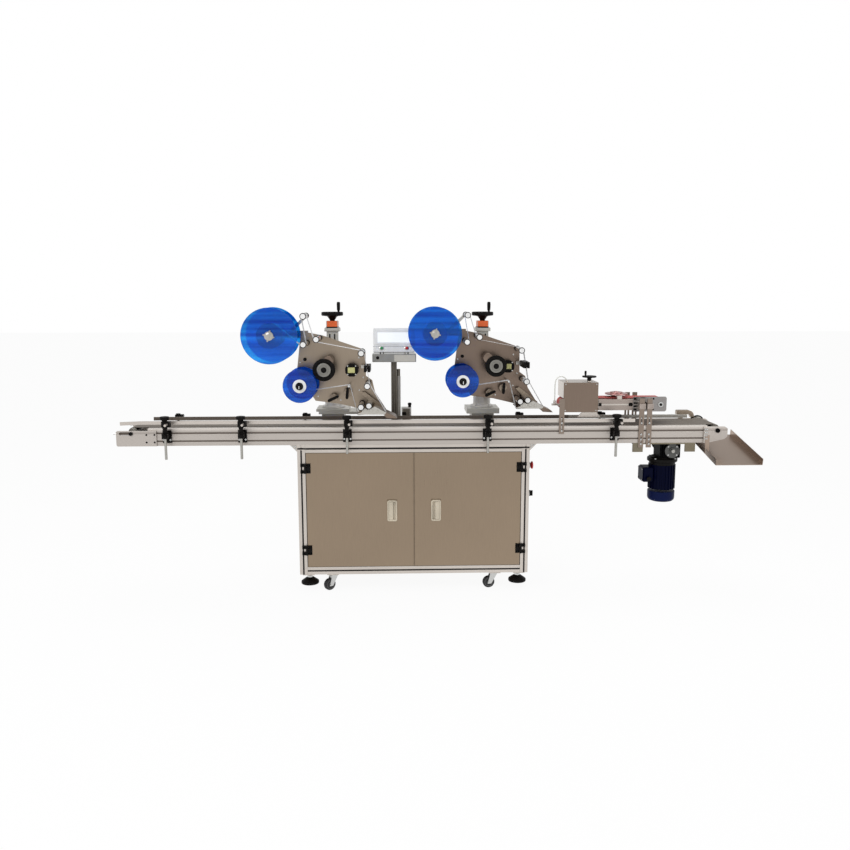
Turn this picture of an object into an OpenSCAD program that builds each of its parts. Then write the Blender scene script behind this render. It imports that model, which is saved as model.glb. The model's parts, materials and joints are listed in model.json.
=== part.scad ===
// Flat surface labeling machine: two label heads and a press belt over a flat conveyor on a cabinet.
// X runs with the product, Y away from the operator, Z up. Y is 0 at the cabinet's front face and
// X is 0 at its centre while a piece is drawn; centred() then puts the origin under the whole machine.

/* [Cabinet] */
// Width of the cabinet
cab_w = 1180; // [1100:10:1300]
// Depth of the cabinet
cab_d = 600; // [580:10:700]
// Height of the cabinet frame's underside above the floor
cab_z0 = 100; // [96:2:120]
// Height of the cabinet frame
cab_h = 680; // [640:10:760]
// Side of the square frame profile
bar = 40; // [36:1:45]
// Width of a profile groove
groove_w = 8; // [6:1:10]
// Depth of a profile groove
groove_d = 4; // [3:0.5:6]
// Thickness of the sheet panels
sheet_t = 2; // [1.5:0.5:3]
// Thickness of a door
door_t = 18; // [14:1:22]

/* [Casters and feet] */
// Radius of a caster wheel
wheel_r = 31.5; // [30:0.5:34]
// Width of a caster wheel
wheel_w = 22; // [18:1:26]
// Distance from the swivel line to the wheel's axle
trail = 27; // [22:1:30]
// Distance of a caster's swivel line from the cabinet's centre
caster_x = 420; // [380:5:450]
// Distance of the casters and feet from the front and rear faces
foot_in = 65; // [60:1:80]
// Radius of a levelling foot's cup
foot_r = 45; // [38:1:46]
// Height of a levelling foot's underside above the floor
foot_lift = 34; // [28:1:36]

/* [Conveyor] */
// Width of the conveyor over its side beams
conv_w = 270; // [260:2:300]
// Height of a side beam
beam_h = 88; // [80:1:96]
// Thickness of a side beam
beam_t = 35; // [30:1:40]
// Distance from the idler drum's axle to the side beams
idler_gap = 82; // [76:1:90]
// Distance from the side beams to the drive drum's axle
drive_gap = 50; // [45:1:55]
// Place of the idler drum's axle along the conveyor
idler_x = -1412; // [-1416:1:-1408]
// Place of the drive drum's axle along the conveyor
drive_x = 1550; // [1545:1:1555]
// Radius of both drums
drum_r = 24; // [20:1:25]
// Thickness of the conveyor belt
belt_t = 2; // [1.5:0.5:3]

/* [Guides] */
// Height of a guide rail's strip
rail_h = 17; // [14:1:22]
// Thickness of a guide rail's strip
rail_t = 6; // [4:1:8]
// Height of the front rail's underside over the conveyor belt
rail_lift = 18; // [16:1:24]
// Radius of a guide rod
rod_r = 6; // [5:0.5:7]
// Distance of the guide posts from the conveyor's face
post_out = 40; // [36:1:44]

/* [Label heads] */
// Place of the first head's column along the conveyor
head_x = -430; // [-442:2:-420]
// Distance between the two heads
head_pitch = 810; // [800:2:820]
// Place of the first head's roller fronts across the conveyor
head_y = -110; // [-116:2:-100]
// How much further back the second head is set
head_step = 190; // [180:2:192]
// Depth of the heads from the roller fronts to the main plate
head_d = 180; // [170:2:186]
// Width of a head's main plate
plate_w = 348; // [340:2:360]
// Height of a head's main plate
plate_h = 383; // [375:1:390]
// Height of the main plate's lowest point above the floor
plate_z0 = 962; // [958:1:970]
// Thickness of a head's main plate
plate_t = 8; // [6:1:10]
// Radius of a supply reel
supply_r = 136; // [126:1:144]
// Radius of a take-up reel
takeup_r = 82; // [76:1:84]
// Radius of the roll of labels
roll_r = 62; // [50:1:70]
// Radius of a guide roller
roller_r = 12; // [10:0.5:13]
// Radius of the drive roller's ring
ring_r = 55; // [50:1:58]
// Travel of a head across the conveyor
cross_travel = 190; // [150:5:190]

/* [Columns] */
// Side of the square column tube
col_s = 60; // [56:1:64]
// Wall of the column tube
col_wall = 5; // [4:0.5:6]
// Height of a column's top above the floor
col_top = 1335; // [1335:1:1345]
// Place of the columns across the machine
col_y = 380; // [378:1:384]
// Radius of the lift screw
screw_r = 6; // [5:0.5:7]
// Radius of a lift handwheel
hand_r = 58; // [50:1:62]

/* [Panel] */
// Width of the touch panel
panel_w = 221; // [210:1:230]
// Height of the touch panel
panel_h = 122; // [116:1:128]
// Thickness of the touch panel
panel_t = 30; // [26:1:34]
// Lean of the touch panel to the rear
panel_lean = 12; // [8:1:16]
// Height of the panel's support box top above the floor
desk_z = 1216; // [1210:1:1230]

/* [Press belt] */
// Radius of the press belt's pulleys
pulley_r = 30; // [26:1:31]
// Place of the left pulley along the conveyor
press_x0 = 787; // [780:1:794]
// Place of the right pulley along the conveyor
press_x1 = 1272; // [1268:1:1280]
// Height of both pulleys' axles above the floor
press_z = 970; // [966:1:980]
// Width of the press belt
press_w = 90; // [80:1:100]
// Thickness of the press belt
press_t = 3; // [2:0.5:4]

/* [Drive] */
// Radius of the motor's body
motor_r = 67; // [62:1:72]
// Length of the motor's body
motor_h = 145; // [130:1:160]
// Length of the motor's fan cover
fan_h = 68; // [60:1:72]
// Radius of both chain sprockets
sprocket_r = 30; // [26:1:32]

/* [Discharge tray] */
// Distance from the tray's left edge to the drive drum's axle
tray_back = 72; // [66:1:80]
// Width of the tray
tray_w = 234; // [225:1:240]
// Front edge of the tray, in front of the conveyor's face
tray_front = 190; // [170:5:200]
// Length of the tray from front to rear
tray_l = 425; // [400:5:440]
// Height of the tray floor's front edge above the floor
tray_z = 700; // [690:1:706]
// Slope of the tray's floor
tray_slope = 11; // [9:0.5:12]
// Height of the tray's side walls
tray_wall = 32; // [26:1:40]

/* [Hidden] */
$fn = 48;
fit = 0.3;
run = 0.05;
over = 1;
flush = 0.2;

cab_z1 = cab_z0 + cab_h;
half_w = cab_w / 2;
beam_x0 = idler_x + idler_gap;
beam_x1 = drive_x - drive_gap;
beam_l = beam_x1 - beam_x0;
beam_z1 = cab_z1 + beam_h;
belt_top = beam_z1 + belt_t;
drum_z = belt_top - belt_t - drum_r;
belt_y0 = beam_t + belt_t;
belt_w = conv_w - 2 * belt_y0;
groove_low = 24;
groove_high = 64;

tray_x0 = drive_x - tray_back;
strap_back = 12;
strap_w = 22;
tip_out = 89;
screw_out = 15;
tip_x = idler_x - tip_out;
centre_x = (tip_x + tray_x0 + tray_w) / 2;
centre_y = (cab_d - tray_front - tray_wall * sin(tray_slope)) / 2;

handle_w = 48;
handle_h = 107;
handle_in = 112;
handle_z = 438;
handle_t = 12;
handle_rim = 5;
hinge_s = 50;
hinge_z_low = 231;
hinge_z_high = 660;
hinge_t = 3;
pin_r = 3;
knuckle_r = 6;
pin_out = 9;
pin_in = half_w - bar - flush;
door_gap = 2;
door_w = pin_in - 2 * door_gap;
door_h = cab_h - 2 * bar - 2 * door_gap;
pan_t = 2;
gusset_s = 36;
gusset_t = 4;
stop_y = 100;
stop_z = 649;
switch_z = 499;
stop_r = 16;
stop_stem_r = 8;
stop_h = 14;
stop_collar_h = 18;
switch_r = 14;
switch_grip = 8;
stroke = 6;
stop_face = half_w + sheet_t + flush + stop_collar_h - stroke;

plate_gear_w = 760;
plate_gear_h = 430;
plate_gear_z = 220;
gear_back = 30;
gear_y = cab_d - bar - gear_back;
gear_t = 3;
duct_h = 40;
duct_t = 50;
supply_unit = [190, 60, 110];
controller = [150, 70, 100];
stepper_drive = [60, 80, 130];
contactor = [45, 75, 80];
contactors = 6;
gear_gap = 20;
foot_bolt_r = 8;
foot_cup_h = 12;
foot_neck_h = 20;
foot_side = 45;
foot_x = half_w - foot_side;
fork_top_t = 4;
fork_w = 30;
fork_t = 2.5;
base_plate_w = 60;
fork_head_h = 16;
fork_head_r = 19;
axle_r = 4;
turns = [35, 8, -20, 15];

end_t = 8;
end_lap = 43;
end_x0 = beam_x0 + end_lap;
end_nose = 14;
end_corner = 6;
tension_screw_r = 3;
end_z0 = cab_z1;
end_h = 78;
end_right_lap = 20;
end_right_out = 52;
end_right_x0 = beam_x1 - end_right_lap;
end_right_x1 = drive_x + end_right_out;
end_right_z0 = 800;
drum_axle_r = 8;
drum_end_gap = 4;
slot_back = 59;
slot_ahead = 10;
bed_t = 3;
tie_w = 40;
tie_t = 30;
tie_share = [0.08, 0.22, 0.4, 0.54, 0.717, 0.845];

clamp_share = [0.0339, 0.1661, 0.3516, 0.6011, 0.8307];
rear_end_share = [0.0258, 0.83];
rear_by_column = [-149, 192];
front_rail_out = 29;
front_rail_share = 0.8682;
front_rail_y = 4;
rear_rail_out = 40;
rear_rail_in = 20;
rear_rail_lift = 3;
rear_knob_r = 12;
rear_knob_h = 5;
rear_rail_y = 250;
flare_len = 100;
flare_out = 26;
post_z0 = 719;
post_z1 = 918;
clamp_s = 28;
clamp_low_z = 838;
knob_r = 21;
knob_h = 16;
bracket_w = 22;
bracket_t = 6;
rod_front = 36;

gearbox_back = 209;
gearbox_x = drive_x - gearbox_back;
gearbox_z = 729;
gearbox_left = 32;
gearbox_past = 45;
gearbox_h = 78;
gearbox_y0 = 62;
gearbox_t = 110;
gear_flange_r = 38;
gear_flange_t = 10;
motor_back = 29;
motor_x = gearbox_x - motor_back;
motor_y = 120;
motor_flange_r = 77;
motor_flange_t = 24;
rib_step = 10;
box_out = 42;
box_d = 90;
box_h = 78;
box_drop = 30;
mount_cheek_w = 50;
mount_l = 320;
mount_past = 98;
mount_x1 = gearbox_x + mount_past;
mount_x0 = mount_x1 - mount_l;
mount_t = 6;
mount_drop = 46;
out_shaft_r = 10;
chain_out = 18;
chain_y = conv_w + chain_out;
chain_t = 6;
chain_w = 8;
chain_gap = 0.4;

base_wide = [296, 176];
base_off = [73, 0];
base_d = 170;
base_t = 12;
pedestal_w = 120;
pedestal_d = 140;
pedestal_h = 100;
plinth_h = 114;
plinth_t = 14;
collar_r = 46;
collar_h = 70;
cap_s = 80;
cap_t = 18;
counter_s = 61;
counter_h = 37;
cone_h = 24;
cone_r0 = 12;
cone_r1 = 26;
dish_t = 24;
hand_grip_r = 8;
hand_grip_h = 56;
hand_grip_x = 34;
carriage_s = 96;
carriage_z0 = 1090;
carriage_h = 140;
clamp_block_w = 56;
clamp_block_d = 50;
arm_s = 40;
arm_x = -64;
arm_z = 1158;
arm_past = 120;
arm_l = cross_travel + arm_past;
nut_r = 14;
nut_h = 24;
nut_tab = 13;
plate_x0 = -159;

outline_share = [[0.07, 1.01], [0.37, 0.955], [0.92, 0.785], [0.995, 0.745], [1.0, 0.42], [1.09, 0.36],
    [1.13, 0.2], [1.27, 0.0], [0.92, -0.02], [0.6, 0.05], [0.26, 0.09], [0, 0.49]];
supply_share = [-0.316, 0.969];
takeup_share = [0.092, 0.335];
dancer_share = [0.158, 1.214];
pivot_share = [-0.083, 1.0];
drive_share = [[0.417, 0.525], [0.6, 0.525]];
motor_share = [0.802, 0.509];
roller_share = [[0.152, 0.859], [0.333, 0.924], [0.954, 0.747], [1.034, 0.329], [0.943, 0.06],
    [1.055, 0.078]];
peel_share = [[0.9, -0.03], [1.14, 0.06], [1.287, -0.012], [1.27, -0.03]];
wedge_share = [[1.24, -0.02], [1.28, -0.016], [1.42, -0.078], [1.44, -0.096], [1.3, -0.085]];
sensor_share = [1.034, 0.548];
lever_share = [[0.532, 0.138], [0.736, 0.209]];
lever_turn = [25, 85];
hub_r = 18;
spindle_r = 8;
reel_disc_t = 4;
core_gap = 6;
reel_w = 154;
dancer_in = 18;
pivot_in = 22;
core_r = 20;
waste_r = 26;
takeup_knob_r = 12;
takeup_knob_h = 22;
cross_arm_w = 12;
cross_arm_l = 30;
cross_turn = 8;
arm_bar_w = 36;
dancer_bar_w = 16;
dancer_bar_t = 8;
roller_cap = 8;
roller_cap_r = 13.5;
roller_shaft_r = 5;
drive_tube_r = 30;
ring_t = 22;
stepper_s = 56;
stepper_h = 60;
peel_in = 12;
wedge_in = 40;
sensor_s = 30;
sensor_slot = 6;
bracket_l = 30;
lever_w = 11;
lever_l = 42;
lever_t = 10;
lever_post = 60;

post_x = -100;
post_w = 31;
post_d = 38;
post_y = 332;
desk_w = 232;
desk_d = 96;
desk_h = 41;
desk_x = -98;
panel_back = 14;
panel_low = 4;
tilt_r = 8;
desk_y = post_y - desk_d / 2;
tilt_y = post_y;
tilt_z = desk_z + tilt_r;
ear_t = 5;
ear_x = 58;
button_r = 8;
button_h = 6;
button_in = 44;
button_z = 15;
screen_rim = 22;
strip_h = 28;
conduit_r = 9;
conduit_h = 170;
eye_w = 52;
eye_h = 44;
eye_stem_r = 8;
eye_stem_h = 22;

press_y = 135;
cover_x0 = 765;
cover_w = 176;
cover_y = 40;
cover_d = 156;
cover_z = 936;
cover_h = 150;
cheek_t = 24;
cheek_z = 941;
cheek_h = 57;
cheek_x0 = 950;
cheek_x1 = 1196;
tail_x1 = 1300;
tail_t = 6;
press_y0 = press_y - press_w / 2;
press_y1 = press_y + press_w / 2;
cheek_front = press_y0 - fit - press_t - cheek_t;
cheek_rear = press_y1 + fit + press_t;
side_front = cheek_front + cheek_t - tail_t;
slotted_x0 = 1144;
slotted_step = 40;
slotted_x = [slotted_x0, slotted_x0 + slotted_step];
slotted_w = 26;
slotted_z0 = 758;
slotted_z1 = 1010;
slotted_t = 6;
bar_y_front = -slotted_t - flush;
left_bar_x = 736;
left_bar_z0 = 831;
slot_w = 7;
slider_h = 40;
press_hand_r = 36;
press_hand_x = 905;
press_hand_y = 90;
press_dish_t = 9;
press_grip_h = 26;
press_stem_h = 16;
press_screw_r = 5;
disc_x = 1059;
disc_big_r = 57;
disc_small_r = 32;
disc_t = 6;
disc_gap = 12;
side_h = 24;
post_at = 850;
gland_r = 6;
cable_arm_x0 = 712;
cable_arm_h = 10;
cable_r = 3;
cable_sides = 8;
cable_route = [[727, 84, 990], [727, 84, 1005], [727, 84, 1020], [727, 84, 1035], [727, 84, 1050],
    [727, 84, 1065], [728, 84, 1080], [731, 84, 1094], [738, 84, 1106], [750, 84, 1114], [764, 84, 1115],
    [776, 84, 1109], [785, 84, 1100], [788, 84, 1094]];
cable_last = len(cable_route) - 1;

// Helpers

module centred() { translate([-centre_x, -centre_y, 0]) children(); }

module block(x0, x1, y0, y1, z0, z1) { translate([x0, y0, z0]) cube([x1 - x0, y1 - y0, z1 - z0]); }

// A flat shape in X and Z, thickened from y0 to y1
module slab(y0, y1) { translate([0, y1, 0]) rotate([90, 0, 0]) linear_extrude(y1 - y0) children(); }

// A round bar along Y
module rod_y(r, x, y0, y1, z) { translate([x, y0, z]) rotate([-90, 0, 0]) cylinder(r = r, h = y1 - y0); }

// A round bar along Z
module rod_z(r, x, y, z0, z1) { translate([x, y, z0]) cylinder(r = r, h = z1 - z0); }

// A round bar along X
module rod_x(r, x0, x1, y, z) { translate([x0, y, z]) rotate([0, 90, 0]) cylinder(r = r, h = x1 - x0); }

module profile_section(s) {
    difference() {
        square(s, center = true);
        for (a = [0, 90, 180, 270])
            rotate(a) translate([s / 2 - groove_d, -groove_w / 2]) square([groove_d + over, groove_w]);
    }
}

module bar_x(x0, x1, y, z) {
    translate([x0, y, z]) rotate([90, 0, 90]) linear_extrude(x1 - x0) profile_section(bar);
}
module bar_y(x, y0, y1, z) {
    translate([x, y1, z]) rotate([90, 0, 0]) linear_extrude(y1 - y0) profile_section(bar);
}
module bar_z(x, y, z0, z1) {
    translate([x, y, z0]) linear_extrude(z1 - z0) profile_section(bar);
}

// A place along the conveyor's side beams
function along(q) = beam_x0 + q * beam_l;
// Places of the rear clamps: near both ends and beside each column
function rear_clamps() = [along(rear_end_share[0]), hx(0) + rear_by_column[0], hx(1) + rear_by_column[1],
    along(rear_end_share[1])];

// A belt loop round two equal drums on X
module loop(x0, x1, z, r, t, y0, y1) {
    slab(y0, y1) difference() {
        loop_face(x0, x1, z, r + t);
        loop_face(x0, x1, z, r);
    }
}
module loop_face(x0, x1, z, r) {
    union() {
        translate([x0, z]) circle(r);
        translate([x1, z]) circle(r);
        translate([x0, z - r]) square([x1 - x0, 2 * r]);
    }
}

// Cabinet

module cabinet_frame() {
    e = bar / 2;
    color("gainsboro") centred() {
        for (x = [-half_w + e, half_w - e], y = [e, cab_d - e]) bar_z(x, y, cab_z0, cab_z1);
        for (y = [e, cab_d - e], z = [cab_z0 + e, cab_z1 - e])
            bar_x(-half_w + bar + flush, half_w - bar - flush, y, z);
        for (x = [-half_w + e, half_w - e], z = [cab_z0 + e, cab_z1 - e])
            bar_y(x, bar + flush, cab_d - bar - flush, z);
        for (s = [-1, 1]) gusset(s);
        for (x = [-caster_x, caster_x, -foot_x, foot_x]) base_plates(x);
    }
}

// Plates under the frame that the casters and feet are fixed to
module base_plates(x) {
    w = base_plate_w / 2;
    reach = foot_in + w;
    for (y = [0, cab_d - reach])
        block(max(x - w, -half_w), min(x + w, half_w), y, y + reach, cab_z0 - fork_top_t - flush,
            cab_z0 - flush);
}

module gusset(s) {
    slab(groove_d, groove_d + gusset_t)
        polygon([[s * (half_w + flush), cab_z1 - flush], [s * (half_w + gusset_s), cab_z1 - flush],
            [s * (half_w + flush), cab_z1 - gusset_s]]);
}

// Side panels and top lie between the bars; rear and floor panels reach into the grooves
module cabinet_panels() {
    mid = bar / 2;
    edge = bar + flush;
    deep = bar - groove_d + fit;
    color("rosybrown") centred() {
        difference() {
            side_panel(half_w - bar);
            for (z = [stop_z, switch_z]) rod_x(stop_stem_r + fit, 0, half_w, stop_y, z);
        }
        for (z = [stop_z, switch_z]) switch_collar(z);
        side_panel(-half_w + bar - sheet_t);
        for (a = [[deep, edge], [edge, deep]]) {
            w = half_w - a[0];
            block(-w, w, cab_d - mid, cab_d - mid + sheet_t, cab_z0 + a[1], cab_z1 - a[1]);
            block(-w, w, a[1], cab_d - a[1], cab_z0 + mid, cab_z0 + mid + sheet_t);
        }
        block(-half_w + edge, half_w - edge, edge, cab_d - edge, cab_z1 - sheet_t, cab_z1);
    }
}

module side_panel(x) {
    edge = bar + flush;
    block(x, x + sheet_t, edge, cab_d - edge, cab_z0 + edge, cab_z1 - edge);
}

module switch_collar(z) {
    x0 = half_w - bar + sheet_t + flush;
    difference() {
        rod_x(stop_r, x0, x0 + bar + stop_collar_h - stroke, stop_y, z);
        rod_x(stop_stem_r + run, 0, half_w + bar, stop_y, z);
    }
}

module stop_button() {
    color("crimson") centred() {
        rod_x(stop_stem_r, half_w - bar - stroke, stop_face + stroke + fit, stop_y, stop_z);
        rod_x(stop_r, stop_face + stroke + fit, stop_face + stroke + stop_h, stop_y, stop_z);
    }
}

module power_switch() {
    x0 = stop_face + fit;
    color("dimgray") centred() {
        rod_x(stop_stem_r, half_w - bar - stroke, x0, stop_y, switch_z);
        rod_x(switch_r, x0, x0 + stroke, stop_y, switch_z);
        block(x0, x0 + stroke + stop_h, stop_y - switch_grip / 2, stop_y + switch_grip / 2,
            switch_z - switch_r, switch_z + switch_r);
    }
}

module hinge_knuckle(s, z0, z1, bore) {
    difference() {
        rod_z(knuckle_r, s * pin_in, -pin_out, z0, z1);
        rod_z(bore, s * pin_in, -pin_out, z0 - over, z1 + over);
    }
}

// Fixed halves of the hinges: leaf, outer knuckles and pin
module door_hinges() {
    third = hinge_s / 3;
    color("black") centred() for (s = [-1, 1], zc = [hinge_z_low, hinge_z_high]) {
        z0 = zc - hinge_s / 2;
        rod_z(pin_r, s * pin_in, -pin_out, z0, z0 + hinge_s);
        for (k = [0, 2]) {
            hinge_knuckle(s, z0 + k * third + fit, z0 + (k + 1) * third - fit, pin_r);
            leaf_x = s > 0 ? pin_in + knuckle_r - hinge_t : -pin_in - hinge_s / 2;
            block(leaf_x, leaf_x + hinge_s / 2 - knuckle_r + hinge_t, -pin_out, -flush,
                z0 + k * third + fit, z0 + (k + 1) * third - fit);
        }
    }
}

// A folded sheet door with its half of each hinge and its pull handle; s is -1 at the left
module door(s) {
    third = hinge_s / 3;
    z0 = cab_z0 + bar + door_gap;
    x_in = s > 0 ? door_gap / 2 : -door_gap / 2 - door_w;
    hx = s * handle_in;
    difference() {
        block(x_in, x_in + door_w, 0, door_t, z0, z0 + door_h);
        block(x_in + pan_t, x_in + door_w - pan_t, pan_t, door_t + over, z0 + pan_t, z0 + door_h - pan_t);
    }
    for (zc = [hinge_z_low, hinge_z_high]) {
        k0 = zc - hinge_s / 2 + third + fit;
        k1 = zc - hinge_s / 2 + 2 * third - fit;
        hinge_knuckle(s, k0, k1, pin_r + run);
        leaf_x = s > 0 ? pin_in - hinge_s / 2 : -pin_in + knuckle_r - hinge_t;
        block(leaf_x, leaf_x + hinge_s / 2 - knuckle_r + hinge_t, -pin_out, -flush, k0, k1);
        block(leaf_x, leaf_x + hinge_s / 2 - knuckle_r, -hinge_t, -flush, zc - hinge_s / 2, zc + hinge_s / 2);
    }
    difference() {
        block(hx - handle_w / 2, hx + handle_w / 2, -handle_t, -flush, handle_z - handle_h / 2,
            handle_z + handle_h / 2);
        block(hx - handle_w / 2 + handle_rim, hx + handle_w / 2 - handle_rim, -handle_t - over, -pan_t,
            handle_z - handle_h / 2 + handle_rim, handle_z + handle_h / 2 - handle_rim);
    }
}
module left_door() { color("rosybrown") centred() door(-1); }
module right_door() { color("rosybrown") centred() door(1); }

module control_gear() {
    y = gear_y;
    x0 = -plate_gear_w / 2;
    z0 = plate_gear_z;
    rack = [supply_unit, controller, stepper_drive, stepper_drive, stepper_drive];
    row_x = [for (i = 0, x = x0 + gear_gap; i < len(rack); x = x + rack[i][0] + gear_gap, i = i + 1) x];
    color("lightgray") centred() {
        block(x0, -x0, y, y + gear_t, z0, z0 + plate_gear_h);
        for (x = [x0 + gear_gap, -x0 - 2 * gear_gap])
            block(x, x + gear_gap, y + gear_t + flush, cab_d - bar / 2 - flush, z0, z0 + gear_gap);
        for (i = [0 : len(rack) - 1])
            block(row_x[i], row_x[i] + rack[i][0], y - flush - rack[i][1], y - flush,
                z0 + plate_gear_h - gear_gap - rack[i][2], z0 + plate_gear_h - gear_gap);
        for (i = [0 : contactors - 1])
            block(contactor_x(i), contactor_x(i) + contactor[0],
                y - flush - contactor[1], y - flush, z0 + 2 * gear_gap + duct_h,
                z0 + 2 * gear_gap + duct_h + contactor[2]);
        for (z = [z0 + gear_gap, z0 + plate_gear_h / 2])
            block(x0 + gear_gap, -x0 - gear_gap, y - flush - duct_t, y - flush, z, z + duct_h);
    }
}

function contactor_x(i) = -plate_gear_w / 2 + gear_gap + i * (contactor[0] + gear_gap);

// Feet and casters

module levelling_feet() {
    color("black") centred() for (x = [-foot_x, foot_x], y = [foot_in, cab_d - foot_in]) {
        rod_z(foot_r, x, y, foot_lift, foot_lift + foot_cup_h);
        translate([x, y, foot_lift + foot_cup_h])
            cylinder(r1 = foot_r, r2 = 2 * foot_bolt_r, h = foot_neck_h);
        rod_z(foot_bolt_r, x, y, foot_lift + foot_cup_h + foot_neck_h, cab_z0 - fork_top_t - flush);
    }
}

module fork_place(sx, sy, turn) {
    translate([sx * caster_x, sy > 0 ? cab_d - foot_in : foot_in, 0]) rotate(turn) children();
}

module fork(sx, sy, turn) {
    top = cab_z0 - fork_top_t - 2 * flush;
    color("silver") centred() fork_place(sx, sy, turn) {
        rod_z(fork_head_r, 0, 0, top - fork_head_h, top);
        difference() {
            union() for (s = [-1, 1]) {
                y0 = s > 0 ? fork_w / 2 - fork_t : -fork_w / 2;
                slab(y0, y0 + fork_t) polygon([[-fork_head_r, top - fork_head_h + fork_t],
                    [fork_head_r, top - fork_head_h + fork_t], [-trail + 3 * axle_r, wheel_r - 2 * axle_r],
                    [-trail - 2 * axle_r, wheel_r - 2 * axle_r]]);
            }
            rod_y(axle_r, -trail, -fork_w, fork_w, wheel_r);
        }
        rod_y(axle_r, -trail, -fork_w / 2 - fork_t, fork_w / 2 + fork_t, wheel_r);
        block(-fork_head_r, fork_head_r, -fork_w / 2, fork_w / 2, top - fork_head_h - fork_t + fork_t / 2,
            top - fork_head_h + fork_t);
    }
}

module wheel(sx, sy, turn) {
    color("dimgray") centred() fork_place(sx, sy, turn) difference() {
        rod_y(wheel_r, -trail, -wheel_w / 2, wheel_w / 2, wheel_r);
        rod_y(axle_r + run, -trail, -wheel_w, wheel_w, wheel_r);
        for (s = [-1, 1]) translate([-trail, s * wheel_w / 2, wheel_r]) rotate([90, 0, 0])
            rotate_extrude() translate([wheel_r / 3, -fork_t]) square([wheel_r / 4, 2 * fork_t]);
    }
}
module front_left_fork() { fork(-1, -1, turns[0]); }
module front_right_fork() { fork(1, -1, turns[1]); }
module rear_left_fork() { fork(-1, 1, turns[2]); }
module rear_right_fork() { fork(1, 1, turns[3]); }
module front_left_wheel() { wheel(-1, -1, turns[0]); }
module front_right_wheel() { wheel(1, -1, turns[1]); }
module rear_left_wheel() { wheel(-1, 1, turns[2]); }
module rear_right_wheel() { wheel(1, 1, turns[3]); }

// Conveyor

module side_beam(y0) {
    translate([beam_x0, y0, cab_z1 + flush]) rotate([90, 0, 90]) linear_extrude(beam_x1 - beam_x0)
        difference() {
            square([beam_t, beam_h - flush]);
            for (z = [groove_low, groove_high], x = [-over, beam_t - groove_d])
                translate([x, z - groove_w / 2]) square([groove_d + over, groove_w]);
            translate([beam_t / 2 - groove_w / 2, -over]) square([groove_w, groove_d + over]);
        }
}

// End plates: the idler's have a tension slot, the drive drum's a bearing hole
module left_end(y0) {
    x0 = tip_x + screw_out;
    z1 = end_z0 + end_h;
    difference() {
        slab(y0, y0 + end_t) polygon([[end_x0, end_z0 + flush], [end_x0, z1], [x0 + end_corner, z1],
            [x0, z1 - end_corner], [x0, end_z0 + end_corner], [x0 + end_corner, end_z0 + flush]]);
        slab(y0 - over, y0 + end_t + over)
            slot_face(idler_x + (slot_ahead - slot_back) / 2, drum_z, slot_ahead + slot_back, drum_axle_r);
    }
    rod_x(tension_screw_r, tip_x, x0 + end_corner, y0 + end_t / 2, drum_z);
}
module slot_face(x, z, l, r) {
    for (s = [-1, 1]) translate([x + s * (l / 2 - r), z]) circle(r);
    translate([x - l / 2 + r, z - r]) square([l - 2 * r, 2 * r]);
}

module right_end(y0) {
    difference() {
        slab(y0, y0 + end_t) polygon([[end_right_x0, end_z0 + flush], [beam_x1, end_z0 + flush],
            [end_right_x1 - end_nose, end_right_z0], [end_right_x1, end_right_z0 + end_nose],
            [end_right_x1, beam_z1 - end_nose], [end_right_x1 - end_nose, beam_z1 - groove_d],
            [end_right_x0, beam_z1 - groove_d]]);
        rod_y(drum_axle_r + run, drive_x, y0 - over, y0 + end_t + over, drum_z);
    }
}

module conveyor_frame() {
    color("gainsboro") centred() {
        side_beam(0);
        side_beam(conv_w - beam_t);
        left_end(-end_t - flush);
        left_end(conv_w + flush);
        right_end(-end_t - flush);
        right_end(conv_w + flush);
    }
}

module conveyor_bed() {
    color("silver") centred() {
        block(beam_x0, beam_x1, beam_t + flush, conv_w - beam_t - flush, beam_z1 - flush - bed_t,
            beam_z1 - flush);
        for (q = tie_share) block(along(q), along(q) + tie_w, beam_t + flush, conv_w - beam_t - flush, cab_z1 + flush,
            cab_z1 + flush + tie_t);
    }
}

module conveyor_belt() {
    color("dimgray") centred()
        loop(idler_x, drive_x, drum_z, drum_r + flush, belt_t - flush, belt_y0, belt_y0 + belt_w);
}

module idler_drum() {
    color("silver") centred() {
        rod_y(drum_r, idler_x, belt_y0, belt_y0 + belt_w, drum_z);
        rod_y(drum_axle_r - run, idler_x, -end_t - flush - drum_end_gap, conv_w + end_t + drum_end_gap,
            drum_z);
    }
}

module drive_drum() {
    color("silver") centred() {
        rod_y(drum_r, drive_x, belt_y0, belt_y0 + belt_w, drum_z);
        rod_y(drum_axle_r, drive_x, -end_t - flush - drum_end_gap, chain_y + chain_w, drum_z);
        rod_y(sprocket_r, drive_x, chain_y - chain_t / 2, chain_y + chain_t / 2, drum_z);
    }
}

module gearbox_sprocket() {
    color("silver") centred() {
        rod_y(out_shaft_r, gearbox_x, gearbox_y0 - gear_flange_t - fork_t, chain_y + chain_w, gearbox_z);
        rod_y(sprocket_r, gearbox_x, chain_y - chain_t / 2, chain_y + chain_t / 2, gearbox_z);
    }
}

module drive_chain() {
    span = norm([drive_x - gearbox_x, drum_z - gearbox_z]);
    lean = atan2(drum_z - gearbox_z, drive_x - gearbox_x);
    color("dimgray") centred() translate([gearbox_x, 0, gearbox_z]) rotate([0, -lean, 0])
        loop(0, span, 0, sprocket_r + chain_gap, chain_t, chain_y - chain_w / 2, chain_y + chain_w / 2);
}

// Drive

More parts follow.
